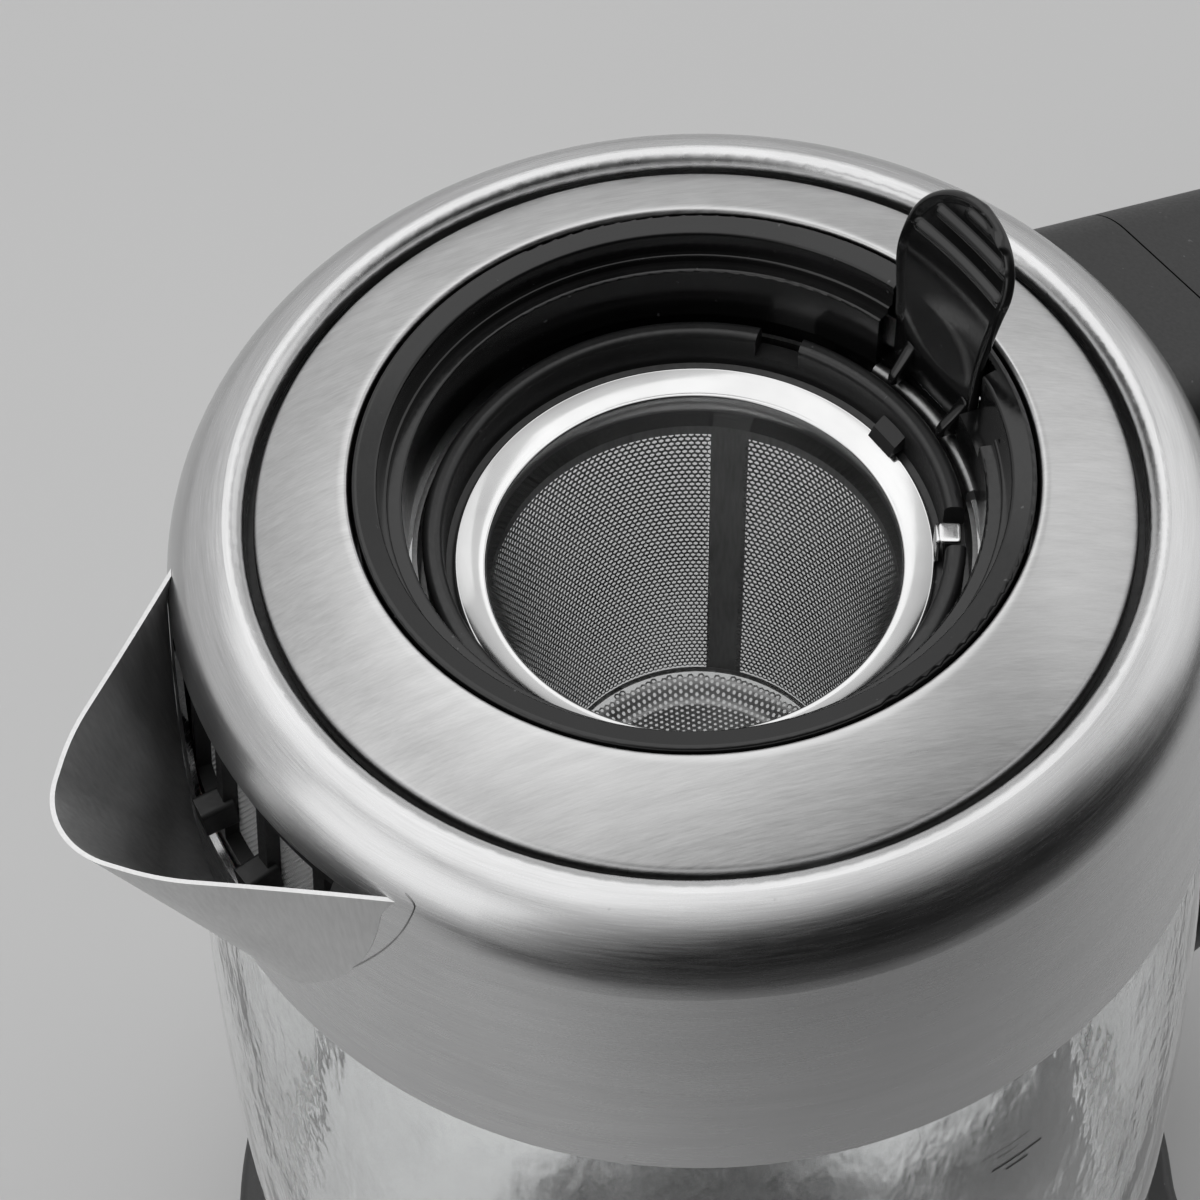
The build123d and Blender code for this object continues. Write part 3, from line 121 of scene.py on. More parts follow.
class Finish:
    """One material's node tree, with a short call for each kind of step used here."""

    def __init__(self, name, roughness, metallic=0.0):
        self.material = bpy.data.materials.new(name)
        self.material.use_nodes = True
        self.tree = self.material.node_tree
        self.shader = self.tree.nodes["Principled BSDF"]
        self.shader.inputs["Metallic"].default_value = metallic
        self.shader.inputs["Roughness"].default_value = roughness
        self.point = self.node("ShaderNodeTexCoord").outputs["Object"]

    def node(self, kind, **links):
        """A node whose inputs, by name, are linked or set."""
        node = self.tree.nodes.new(kind)
        for name, value in links.items():
            self.join(node.inputs[name.replace("_", " ")], value)
        return node

    def join(self, socket, value):
        """Link an output to a socket, or set the socket's own value."""
        if isinstance(value, bpy.types.NodeSocket):
            self.tree.links.new(value, socket)
        else:
            socket.default_value = value

    def maths(self, operation, first, second=0.0):
        """One Math node."""
        node = self.tree.nodes.new("ShaderNodeMath")
        node.operation = operation
        self.join(node.inputs[0], first)
        self.join(node.inputs[1], second)
        return node.outputs[0]

    def stretched(self, scale, turn=0.0):
        """Object coordinates turned about Z, then scaled along each axis."""
        turned = self.node("ShaderNodeMapping", Vector=self.point, Rotation=(0, 0, turn))
        return self.node("ShaderNodeMapping", Vector=turned.outputs[0], Scale=scale).outputs[0]

    def round_grain(self, along, across):
        """Point (along x/r, along y/r, across (r - z)): noise on it runs round the axis."""
        part = self.node("ShaderNodeSeparateXYZ", Vector=self.point)
        x, y, z = part.outputs
        squares = self.maths("ADD", self.maths("MULTIPLY", x, x), self.maths("MULTIPLY", y, y))
        radius = self.maths("SQRT", squares)
        length = self.maths("MAXIMUM", radius, 0.0001)
        grain = self.node(
            "ShaderNodeCombineXYZ",
            X=self.maths("MULTIPLY", self.maths("DIVIDE", x, length), along),
            Y=self.maths("MULTIPLY", self.maths("DIVIDE", y, length), along),
            Z=self.maths("MULTIPLY", self.maths("SUBTRACT", radius, z), across),
        )
        return grain.outputs[0]

    def noise(self, vector, scale=1.0, detail=3.0, roughness=0.55):
        """Noise between 0 and 1 on a vector."""
        node = self.node("ShaderNodeTexNoise", Vector=vector, Scale=scale)
        node.inputs["Detail"].default_value = detail
        node.inputs["Roughness"].default_value = roughness
        return node.outputs[0]

    def between(self, value, low, high, start=0.3, end=0.7):
        """Value carried from start..end to low..high."""
        node = self.node("ShaderNodeMapRange", Value=value)
        node.inputs["From Min"].default_value = start
        node.inputs["From Max"].default_value = end
        node.inputs["To Min"].default_value = low
        node.inputs["To Max"].default_value = high
        return node.outputs[0]

    def grey(self, value, tint=(1.0, 1.0, 1.0)):
        """Colour of one lightness with a faint tint."""
        parts = [self.maths("MULTIPLY", value, share) for share in tint]
        return self.node("ShaderNodeCombineColor", Red=parts[0], Green=parts[1], Blue=parts[2]).outputs[0]

    def across(self, direction):
        """Direction fixed in the part, for the side to which brushed metal spreads light."""
        node = self.tree.nodes.new("ShaderNodeVectorTransform")
        node.vector_type = "VECTOR"
        node.convert_from = "OBJECT"
        node.convert_to = "WORLD"
        node.inputs[0].default_value = direction
        return node.outputs[0]

    def bump(self, height, strength, distance):
        """Bump on the shader's normal; a second call builds on the first."""
        node = self.node("ShaderNodeBump", Height=height, Strength=strength, Distance=distance)
        socket = self.shader.inputs["Normal"]
        if socket.is_linked:
            self.join(node.inputs["Normal"], socket.links[0].from_socket)
        self.join(socket, node.outputs[0])

    def set(self, **inputs):
        """Set or link the shader's own sockets."""
        for name, value in inputs.items():
            self.join(self.shader.inputs[name.replace("_", " ")], value)


def steel_round():
    """Steel brushed round the axis: long streaks, soft blotches and a few pale wear specks."""
    f = Finish("brushed_steel_round", 0.3, 1.0)
    streak = f.noise(f.round_grain(9.0, 3400.0), detail=4.0, roughness=0.7)
    wide = f.noise(f.round_grain(3.0, 420.0), detail=2.0)
    blotch = f.noise(f.point, scale=34.0, detail=3.0)
    speck = f.between(f.noise(f.point, scale=620.0, detail=1.0), 0.0, 0.1, 0.78, 0.83)
    tone = f.maths("ADD", f.between(streak, 0.53, 0.62), f.between(blotch, -0.02, 0.025))
    tone = f.maths("ADD", tone, f.between(wide, -0.02, 0.02))
    tone = f.maths("SUBTRACT", tone, speck)
    f.set(Base_Color=f.grey(tone, (1.0, 1.0, 1.005)))
    rough = f.maths("ADD", f.between(streak, 0.19, 0.29), f.between(blotch, -0.02, 0.04))
    f.set(Roughness=rough, Anisotropic=0.35, Anisotropic_Rotation=0.25)
    tangent = f.node("ShaderNodeTangent")
    tangent.direction_type = "RADIAL"
    tangent.axis = "Z"
    f.set(Tangent=tangent.outputs[0])
    f.bump(streak, 0.12, 0.00004)
    return f.material


def steel_plate():
    """Steel brushed in one direction: short strokes over wider soft ones."""
    f = Finish("brushed_steel_plate", 0.34, 1.0)
    turn = -math.radians(STROKE_AZIMUTH)
    stroke = f.noise(f.stretched((330.0, 3600.0, 900.0), turn), detail=3.0, roughness=0.65)
    wide = f.noise(f.stretched((90.0, 700.0, 200.0), turn), detail=2.0)
    blotch = f.noise(f.point, scale=60.0, detail=3.0)
    tone = f.maths("ADD", f.between(stroke, 0.51, 0.61), f.between(wide, -0.03, 0.03))
    tone = f.maths("ADD", tone, f.between(blotch, -0.02, 0.02))
    f.set(Base_Color=f.grey(tone))
    f.set(Roughness=f.maths("ADD", f.between(stroke, 0.3, 0.38), f.between(blotch, -0.03, 0.04)))
    f.set(Anisotropic=0.75, Tangent=f.across(toward(STROKE_AZIMUTH + 90.0, 0.0)))
    f.bump(stroke, 0.22, 0.00005)
    f.bump(wide, 0.12, 0.0001)
    return f.material


def steel_polished():
    """Polished steel with hairline polishing marks and thin smears."""
    f = Finish("polished_steel", 0.12, 1.0)
    hair = f.noise(f.round_grain(5.0, 2600.0), detail=3.0)
    smear = f.noise(f.point, scale=85.0, detail=3.0)
    f.set(Base_Color=f.grey(f.between(smear, 0.6, 0.68)))
    f.set(Roughness=f.maths("ADD", f.between(hair, 0.08, 0.16), f.between(smear, 0.0, 0.06)))
    f.bump(hair, 0.05, 0.00003)
    return f.material


def steel_sheet(name, low, high, rough):
    """Plain rolled sheet: faint vertical rolling marks, handling scuffs, duller patches."""
    f = Finish(name, rough, 1.0)
    rolled = f.noise(f.stretched((2200.0, 2200.0, 260.0)), detail=2.0, roughness=0.5)
    patch = f.noise(f.point, scale=90.0, detail=3.0)
    tone = f.maths("ADD", f.between(rolled, low, high), f.between(patch, -0.04, 0.04))
    f.set(Base_Color=f.grey(tone))
    grain = f.between(rolled, rough - 0.04, rough + 0.04)
    f.set(Roughness=f.maths("ADD", grain, f.between(patch, -0.02, 0.03)))
    f.bump(rolled, 0.05, 0.00003)
    return f.material


def black_moulded(name, tone, low, high, grain, grain_height):
    """Black moulded plastic: fine grain, polish that varies, a few pale dust specks."""
    f = Finish(name, low)
    fine = f.noise(f.point, scale=grain, detail=2.0)
    wide = f.noise(f.point, scale=75.0, detail=3.0)
    dust = f.between(f.noise(f.point, scale=900.0, detail=1.0), 0.0, 0.06, 0.76, 0.8)
    shade = f.maths("ADD", f.between(wide, tone * 0.8, tone * 1.25), dust)
    f.set(Base_Color=f.grey(shade, (1.0, 1.0, 1.02)))
    f.set(Roughness=f.maths("ADD", f.between(fine, low, high), f.between(wide, -0.03, 0.05)))
    f.bump(fine, grain_height, 0.00005)
    return f.material


def glass_clear():
    """Clear blown glass: slow waves in its surface and a trace of water haze."""
    f = Finish("clear_glass", 0.0)
    wave = f.noise(f.stretched((38.0, 38.0, 14.0)), detail=2.0)
    haze = f.noise(f.point, scale=210.0, detail=3.0)
    f.set(Base_Color=(0.965, 0.975, 0.975, 1.0), Transmission_Weight=1.0, IOR=1.5)
    f.set(Roughness=f.between(haze, 0.0, 0.035, 0.5, 0.8))
    f.bump(wave, 0.35, 0.0006)
    f.bump(f.noise(f.stretched((170.0, 170.0, 60.0)), detail=3.0), 0.3, 0.00025)
    return f.material


def strainer_wire():
    """Bright drawn wire, dulled in patches, with a fine grain."""
    f = Finish("strainer_wire", 0.4, 0.5)
    fine = f.noise(f.point, scale=1500.0, detail=2.0)
    patch = f.noise(f.point, scale=120.0, detail=3.0)
    f.set(Base_Color=f.grey(f.between(patch, 0.7, 0.88)))
    f.set(Roughness=f.between(fine, 0.32, 0.48))
    f.bump(fine, 0.1, 0.00003)
    return f.material


def silicone_white():
    """Translucent silicone with a faint moulded grain."""
    f = Finish("white_silicone", 0.5)
    fine = f.noise(f.point, scale=1400.0, detail=2.0)
    cloud = f.noise(f.point, scale=90.0, detail=2.0)
    f.set(Base_Color=f.grey(f.between(cloud, 0.6, 0.7)), Subsurface_Weight=0.2, Subsurface_Scale=0.004)
    f.set(Roughness=f.between(fine, 0.42, 0.58))
    f.bump(fine, 0.1, 0.00005)
    return f.material


def painted(name, colour, rough, metallic=0.0):
    """Plain coloured plastic, lacquer or cast metal with mottling and a fine grain."""
    f = Finish(name, rough, metallic)
    fine = f.noise(f.point, scale=1300.0, detail=2.0)
    cloud = f.noise(f.point, scale=110.0, detail=3.0)
    f.set(Base_Color=f.grey(f.between(cloud, 0.88, 1.06), colour))
    f.set(Roughness=f.between(fine, rough - 0.07, rough + 0.07))
    f.bump(fine, 0.15, 0.00004)
    return f.material


def make_finishes():
    """Every finish by its slot, and by node name for the pieces that need their own."""
    return {
        "base_black": black_moulded("base_black", 0.03, 0.36, 0.5, 1500.0, 0.35),
        "rubber": black_moulded("black_rubber", 0.035, 0.6, 0.8, 1100.0, 0.3),
        "screw_steel": steel_sheet("zinc_screw", 0.5, 0.6, 0.3),
        "gloss_black": black_moulded("gloss_black", 0.006, 0.12, 0.2, 1700.0, 0.06),
        "board_green": painted("board_green", (0.05, 0.2, 0.1), 0.4),
        "component_grey": painted("component_grey", (0.2, 0.2, 0.21), 0.5),
        "button_grey": painted("button_grey", (0.55, 0.56, 0.57), 0.35),
        "brushed_steel": steel_round(),
        "polished_steel": steel_polished(),
        "aluminium": painted("cast_aluminium", (0.68, 0.68, 0.69), 0.42, 1.0),
        "silicone": silicone_white(),
        "glass": glass_clear(),
        "matt_black": black_moulded("matt_black", 0.011, 0.38, 0.5, 1900.0, 0.3),
        "soft_black": black_moulded("soft_black", 0.019, 0.52, 0.66, 1500.0, 0.35),
        "mesh_steel": steel_sheet("mesh_steel", 0.24, 0.3, 0.34),
        "top_plate": steel_plate(),
        "lift_tab": black_moulded("tab_black", 0.008, 0.08, 0.16, 1700.0, 0.03),
        "infuser_holder": black_moulded("holder_black", 0.016, 0.3, 0.42, 1900.0, 0.25),
        "neck_band": steel_sheet("band_steel", 0.26, 0.34, 0.38),
        "spout_strainer_mesh": strainer_wire(),
        "spout": steel_sheet("spout_steel", 0.6, 0.7, 0.42),
    }


def dress_frame(finishes):
    """Give each carried CAD node its slot's finish, or its own where it has one."""
    slots = {row["node"]: row["material_slot"] for row in frame["record"]["subparts"]}
    for name, node in frame["nodes"].items():
        finish = finishes.get(name, finishes[slots[name]])
        for place in node.material_slots:
            place.material = finish


# ---------------------------------------------------------------- surfaces
HEX_ROW = 1.5 / math.sqrt(3.0)                # from row to row of six-sided cells, in pitches
RING_STEPS = 361                              # points round a turned piece, ends meeting
MERGE_DISTANCE = 2e-6


def mesh_piece(name, points, faces, finish, body):
    """New piece from arrays of points and faces, merged, riding on a body."""
    mesh = bpy.data.meshes.new(name)
    mesh.from_pydata(points.reshape(-1, 3).tolist(), [], faces.tolist())
    work = bmesh.new()
    work.from_mesh(mesh)
    bmesh.ops.remove_doubles(work, verts=work.verts, dist=MERGE_DISTANCE)
    bmesh.ops.recalc_face_normals(work, faces=work.faces)
    work.to_mesh(mesh)
    work.free()
    piece = bpy.data.objects.new(name, mesh)
    bpy.context.scene.collection.objects.link(piece)
    mesh.materials.append(finish)
    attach(piece, body)
    return piece


def thicken(piece, thickness):
    """Give a sheet its wall, half to each side, with closed rims."""
    wall = piece.modifiers.new("wall", "SOLIDIFY")
    wall.thickness = thickness
    wall.offset = 0.0
    wall.use_even_offset = False


def ring_faces(rings, size):
    """Quads between neighbouring closed rings of points, size points in each."""
    a, b = np.meshgrid(np.arange(rings - 1), np.arange(size), indexing="ij")
    after = (b + 1) % size
    faces = [a * size + b, a * size + after, (a + 1) * size + after, (a + 1) * size + b]
    return np.stack(faces, axis=-1).reshape(-1, 4)


def smooth_piece(name, points, finish, body):
    """Closed smooth surface from rings of points; its first and last rings meet or shrink away."""
    piece = mesh_piece(name, points, ring_faces(points.shape[0], points.shape[1]), finish, body)
    piece.data.shade_smooth()
    return piece


def eased(value, start, end):
    """Smoothstep 3t^2 - 2t^3 of value between start and end."""
    t = np.clip((value - start) / (end - start), 0.0, 1.0)
    return t * t * (3.0 - 2.0 * t)


def rounded(share):
    """Quarter circle sqrt(1 - (1 - s)^2), so that a thickness grows from an edge in a round."""
    s = np.clip(share, 0.0, 1.0)
    return np.sqrt(1.0 - (1.0 - s) ** 2)


def wrapped(angle, radius, z):
    """Cylindrical coordinates to points."""
    return np.stack(np.broadcast_arrays(radius * np.cos(angle), radius * np.sin(angle), z), axis=-1)


def section(radius, height):
    """Points (radius, height) of a profile."""
    return np.stack(np.broadcast_arrays(radius, height), axis=1)


def turned_round(profile):
    """Rings of a closed section turned once about the axis; heights from the plate's rim."""
    angle = np.linspace(0.0, 2.0 * math.pi, RING_STEPS)[:, None]
    return wrapped(angle, profile[None, :, 0], RIM_Z + profile[None, :, 1])


def grid_faces(across, along):
    """Quads of a grid of across by along points, along running fastest."""
    a, b = np.meshgrid(np.arange(across - 1), np.arange(along - 1), indexing="ij")
    low = (a * along + b).ravel()
    return np.stack([low, low + along, low + along + 1, low + 1], axis=1)


def squared_up(wave, power):
    """Sine or cosine raised to a power below 1 with its sign kept, so that a circle squares up."""
    return np.sign(wave) * np.abs(wave) ** power


def perforated_cells(columns, rows, first_row, hole, place):
    """Six-sided cells with six-sided holes; place(u, v) carries the plane onto the surface.

    Cell (i, j) is centred at u = i + (j mod 2)/2, v = 3j/(2 sqrt 3); its corners lie at radius
    1/sqrt 3 every 60 degrees, and the hole's corners at the share hole of that.
    """
    i, j = np.meshgrid(np.arange(columns), np.arange(first_row, first_row + rows), indexing="ij")
    i, j = i.ravel()[:, None], j.ravel()[:, None]
    angle = np.radians(30.0 + 60.0 * np.arange(6))[None, :]
    centre_u = i + 0.5 * (j % 2) + 0.5
    centre_v = j * HEX_ROW
    rings = []
    for share in (1.0, hole):
        radius = share / math.sqrt(3.0)
        rings.append(place(centre_u + radius * np.cos(angle), centre_v + radius * np.sin(angle)))
    points = np.concatenate(rings, axis=1)
    start = 12 * np.arange(len(i))[:, None, None]
    corner = np.arange(6)
    after = (corner + 1) % 6
    quads = np.stack([corner, after, after + 6, corner + 6], axis=1)[None]
    return points, (start + quads).reshape(-1, 4)


# ---------------------------------------------------------------- infuser
FLANGE_WIDTH = 3.3 * MM
BASKET_SHEET = 0.14 * MM
HOLE_PITCH = 0.86 * MM
HOLE_SHARE = 0.72
WALL_BANDS = 3
STRIP_WIDTH = 4.8 * MM
STRIP_ANGLE = 45.5
STRIP_PROUD = 0.06 * MM
PLAIN_MARGIN = 1.0 * MM                       # where the holes start below the top
TOP_BAND = 1.6 * MM                           # plain band that closes the edge of the holes there
FOOT_MARGIN = 0.4 * MM                        # the same at the foot
FOOT_BAND = 0.88 * MM
BASE_DISH = 2.0 * MM
DISH_EDGES = (15.5 * MM, 19.4 * MM)           # radii between which the base rises from its dish
DISH_HOLE_SHARE = 0.54
DISH_BELOW = 0.3 * MM                         # the rim under the solid base's top
DISH_RIM = 0.6 * MM                           # outside this no cell is kept
basket_top_radius = flange_outer_radius - FLANGE_WIDTH
basket_foot_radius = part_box("infuser_base")[1].x


def basket_radius(z):
    """Middle of the tapered wall: r falls evenly from the plain band to the foot."""
    share = (z - basket_low.z) / (basket_high.z - basket_low.z)
    return basket_foot_radius + share * (basket_top_radius - basket_foot_radius) - BASKET_SHEET


def infuser_wall(finish):
    """Perforated wall from the weld strip round to it again, in bands one below another."""
    half_strip = np.arcsin(STRIP_WIDTH / 2 / basket_top_radius)
    span = 2 * math.pi - 2 * half_strip
    columns = int(round(span * basket_top_radius / HOLE_PITCH))
    top = basket_high.z - PLAIN_MARGIN
    bottom = basket_low.z + FOOT_MARGIN
    rows = int((top - bottom) / (HOLE_PITCH * HEX_ROW))
    start = math.radians(STRIP_ANGLE) + half_strip

    def on_wall(u, v):
        """Columns round the taper from the strip, rows down it."""
        z = top - v * HOLE_PITCH
        return wrapped(start + u / columns * span, basket_radius(z), z)

    pieces = []
    edges = [round(rows * k / WALL_BANDS) for k in range(WALL_BANDS + 1)]
    for index, (first, last) in enumerate(zip(edges, edges[1:])):
        points, faces = perforated_cells(columns, last - first, first, HOLE_SHARE, on_wall)
        piece = mesh_piece(f"infuser_wall_{index + 1}", points, faces, finish, "infuser")
        thicken(piece, BASKET_SHEET)
        pieces.append(piece)
    return pieces


def wall_patch(name, angle_half, z_low, z_high, proud, finish, around):
    """Plain conical patch of the wall: r = basket_radius(z) + proud over a span of angle."""
    turn = np.linspace(-1.0, 1.0, around)[:, None]
    z = np.linspace(z_low, z_high, 12)[None, :]
    angle = math.radians(STRIP_ANGLE) + turn * angle_half(z)
    points = wrapped(angle, basket_radius(z) + proud, z)
    piece = mesh_piece(name, points, grid_faces(around, z.size), finish, "infuser")
    thicken(piece, BASKET_SHEET)
    return piece


def infuser_plain_parts(finish):
    """Weld strip of constant width, and closed margins above and below the holes."""
    def strip_half(z):
        """Half the angle that the strip's width takes up at a height."""
        return np.arcsin(STRIP_WIDTH / 2 / basket_radius(z))

    def all_round(z):
        """Half a turn at every height."""
        return np.full_like(z, math.pi)

    low, high = basket_low.z, basket_high.z
    return [
        wall_patch("infuser_weld_strip", strip_half, low, high, STRIP_PROUD, finish, 9),
        wall_patch("infuser_top_margin", all_round, high - TOP_BAND, high, 0.0, finish, 181),
        wall_patch("infuser_foot_margin", all_round, low, low + FOOT_BAND, 0.0, finish, 181),
    ]


def infuser_dish(finish):
    """Perforated base: the plane's cells within the rim, sunk by a smoothstep of the radius."""
    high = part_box("infuser_base")[1]
    columns = int(2 * high.x / HOLE_PITCH)
    rows = int(2 * high.x / (HOLE_PITCH * HEX_ROW))

    def on_dish(u, v):
        """Flat plan, centred on the axis, let down by the dish."""
        x = (u - 0.5 * columns) * HOLE_PITCH
        y = v * HOLE_PITCH
        sunk = BASE_DISH * (1.0 - eased(np.hypot(x, y), *DISH_EDGES))
        return np.stack([x, y, high.z - DISH_BELOW - sunk], axis=-1)

    points, faces = perforated_cells(columns, rows, -(rows // 2), DISH_HOLE_SHARE, on_dish)
    centre = points.mean(axis=1)
    kept = np.hypot(centre[:, 0], centre[:, 1]) < high.x - DISH_RIM
    faces = faces.reshape(-1, 6, 4)[kept].reshape(-1, 4)
    used, faces = np.unique(faces, return_inverse=True)
    points = points.reshape(-1, 3)[used]
    piece = mesh_piece("infuser_dish", points, faces.reshape(-1, 4), finish, "infuser")
    thicken(piece, BASKET_SHEET)
    return piece


def make_infuser(finishes):
    """The wall and base with their holes stand for the plain CAD ones."""
    finish = finishes["mesh_steel"]
    pieces = infuser_wall(finish) + infuser_plain_parts(finish)
    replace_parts(pieces[0], "infuser_basket")
    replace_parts(infuser_dish(finish), "infuser_base")


# ---------------------------------------------------------------- basket flange
FLANGE_EDGE = -11.8 * MM                      # heights from the plate's rim
FLANGE_ROLL = (0.3 * MM, 0.35 * MM)           # the outer edge's round: width and height
FLANGE_BAND = 0.7 * MM                        # the outer edge's height, with its round
FLANGE_FALL = 1.2 * MM
FLANGE_BEND = 0.4 * MM                        # round between the face and the skirt
FLANGE_SHEET = 0.5 * MM
FLANGE_SKIRT = basket_high.z - RIM_Z
LUG_AZIMUTH = -35.5
LUG_UPRIGHT = (28.2 * MM, -9.9 * MM)          # radius and height of each block's middle
LUG_UPRIGHT_HALVES = (0.3 * MM, 1.5 * MM, 2.1 * MM)
LUG_SHELF = (29.6 * MM, -8.0 * MM)
LUG_SHELF_HALVES = (1.3 * MM, 1.4 * MM, 0.3 * MM)


def flange_profile():
    """Closed section: rolled outer edge, face that falls as s^1.6 inward, round, short skirt."""
    inner = flange_outer_radius - FLANGE_WIDTH
    width, height = FLANGE_ROLL
    turn = np.linspace(0.0, math.pi / 2, 8)[:-1]
    start = section(flange_outer_radius, [FLANGE_EDGE - FLANGE_BAND])
    roll = section(
        flange_outer_radius - width * (1.0 - np.cos(turn)),
        FLANGE_EDGE - height * (1.0 - np.sin(turn)),
    )
    share = np.linspace(1.0, 0.0, 40)
    face = section(
        inner + share * (FLANGE_WIDTH - width),
        FLANGE_EDGE - FLANGE_FALL * (1.0 - share**1.6),
    )
    radius, level = face[-1]
    round_in = section(
        radius - FLANGE_BEND * np.sin(turn[1:]),
        level - FLANGE_BEND * (1.0 - np.cos(turn[1:])),
    )
    skirt = section(radius - FLANGE_BEND, [level - FLANGE_SHEET, FLANGE_SKIRT])
    upper = np.concatenate([start, roll, face, round_in, skirt])
    lower = upper[::-1] - np.array([0.0, FLANGE_SHEET])
    slack = 0.1 * MM
    in_skirt = lower[:, 0] < inner + slack
    lower[:, 0] += np.where(in_skirt, FLANGE_SHEET, -slack)
    lower[:, 1] = np.maximum(lower[:, 1], FLANGE_SKIRT)
    return np.concatenate([upper, lower])


def placed(radius, aside, z, azimuth):
    """Points at a distance along an azimuth and a distance aside of it."""
    a = math.radians(azimuth)
    x = radius * math.cos(a) - aside * math.sin(a)
    y = radius * math.sin(a) + aside * math.cos(a)
    return np.stack(np.broadcast_arrays(x, y, z), axis=-1)


def rounded_block(place, azimuth, halves):
    """Superellipsoid |x/a|^6 + |y/b|^6 + |z/c|^6 = 1, set at a (radius, height) and azimuth."""
    rise = np.linspace(-math.pi / 2, math.pi / 2, 25)[:, None]
    turn = np.linspace(0.0, 2.0 * math.pi, 49)[None, :-1]
    power = 1.0 / 3.0
    level = squared_up(np.cos(rise), power)
    radius = place[0] + halves[0] * level * squared_up(np.cos(turn), power)
    aside = halves[1] * level * squared_up(np.sin(turn), power)
    z = RIM_Z + place[1] + halves[2] * squared_up(np.sin(rise), power)
    return placed(radius, aside, z, azimuth)


def make_flange(finish):
    """Flange with one lug, an upright and a shelf, in the holder's right notch."""
    points = turned_round(flange_profile())
    flange = smooth_piece("polished_flange", points, finish, "infuser")
    upright = rounded_block(LUG_UPRIGHT, LUG_AZIMUTH, LUG_UPRIGHT_HALVES)
    shelf = rounded_block(LUG_SHELF, LUG_AZIMUTH, LUG_SHELF_HALVES)
    smooth_piece("flange_lug_upright", upright, finish, "infuser")
    smooth_piece("flange_lug_shelf", shelf, finish, "infuser")
    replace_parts(flange, "basket_flange")


# ---------------------------------------------------------------- spout details
WALL_TOP = (61.1 * MM, -8.0 * MM)             # the collar's straight wall: radius and height
WALL_FOOT = (65.5 * MM, -38.5 * MM)
SHOULDER_CENTRE = 51.0 * MM                   # radius at which the shoulder's round is centred
SHOULDER_ROUND = 10.0 * MM
STRAINER_INSET = 3.1 * MM
WIRE_PITCH = 0.62 * MM
WIRE_THICKNESS = 0.2 * MM
WIRE_HOLE_SHARE = 0.7
MESH_SPAN = 47.0
MESH_HEIGHTS = (-7.7 * MM, -26.7 * MM)
SEAM_CORNER = (-152.4, -2.8 * MM)             # azimuth and height of the seam's top corner
SEAM_RUN = (-17.0, -30.0 * MM)                # from the corner to the seam's lower end
SEAM_BACK = (-2.2, 1.1 * MM)                  # from the corner up over its short turn
SEAM_RADIUS = 0.1 * MM


def collar_radius(z):
    """Straight wall through its two named points."""
    share = (z - WALL_TOP[1]) / (WALL_FOOT[1] - WALL_TOP[1])
    return WALL_TOP[0] + share * (WALL_FOOT[0] - WALL_TOP[0])


def make_strainer_mesh(finish):
    """Open wire mesh on the cone inside the collar's wall, opposite the handle."""
    top, bottom = MESH_HEIGHTS
    span = math.radians(MESH_SPAN)
    columns = int(span * (collar_radius(top) - STRAINER_INSET) / WIRE_PITCH)
    rows = int((top - bottom) / (WIRE_PITCH * HEX_ROW))

    def on_cone(u, v):
        """Columns round the span about -X, rows down inside the wall."""
        z = top - v * WIRE_PITCH
        angle = math.pi - span / 2 + u / columns * span
        return wrapped(angle, collar_radius(z) - STRAINER_INSET, RIM_Z + z)

    points, faces = perforated_cells(columns, rows, 1, WIRE_HOLE_SHARE, on_cone)
    piece = mesh_piece("strainer_wire_mesh", points, faces, finish, "jug")
    thicken(piece, WIRE_THICKNESS)
    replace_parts(piece, "spout_strainer_mesh")


def skin_radius(z):
    """Outside of the collar: straight wall, and above it the shoulder's quarter round."""
    rise = np.clip(z - WALL_TOP[1], 0.0, SHOULDER_ROUND)
    shoulder = SHOULDER_CENTRE + np.sqrt(SHOULDER_ROUND**2 - rise**2)
    return np.where(z > WALL_TOP[1], shoulder, collar_radius(z))


def seam_line():
    """Azimuths and heights along the seam.

    Below its corner the azimuth runs as s^1.35 while the height falls evenly; above it the
    seam turns back over a parabola.
    """
    back = np.linspace(0.8, 0.0, 13)[:-1]
    down = np.linspace(0.0, 1.0, 60)
    azimuth = np.concatenate([SEAM_BACK[0] * back**2, SEAM_RUN[0] * down**1.35])
    z = np.concatenate([SEAM_BACK[1] * back, SEAM_RUN[1] * down])
    return np.radians(SEAM_CORNER[0] + azimuth), SEAM_CORNER[1] + z


def make_weld_line(finish):
    """Fine seam round the end of the spout's flank: rings of a tube that thins to both ends."""
    azimuth, z = seam_line()
    line = wrapped(azimuth, skin_radius(z), RIM_Z + z)
    share = np.linspace(0.0, 1.0, len(z))
    thick = SEAM_RADIUS * rounded(share / 0.03) * rounded((1.0 - share) / 0.4)
    along = np.gradient(line, axis=0)
    along /= np.linalg.norm(along, axis=1, keepdims=True)
    outward = wrapped(azimuth, 1.0, 0.0 * z)
    sideways = np.cross(along, outward)
    turn = np.linspace(0.0, 2.0 * math.pi, 13)[None, :-1, None]
    ring = outward[:, None] * np.cos(turn) + sideways[:, None] * np.sin(turn)
    points = line[:, None] + ring * thick[:, None, None]
    smooth_piece("spout_weld_seam", points, finish, "jug")


# ---------------------------------------------------------------- fill mark
MARK_AZIMUTH = -89.0
MARK_HEIGHT = -60.0 * MM
MARK_RADIUS = 66.86 * MM
MARK_FLARE = 0.117                            # the glass widens by this much for each metre down
MARK_STROKE = 0.32 * MM
MARK_THICKNESS = 0.04 * MM


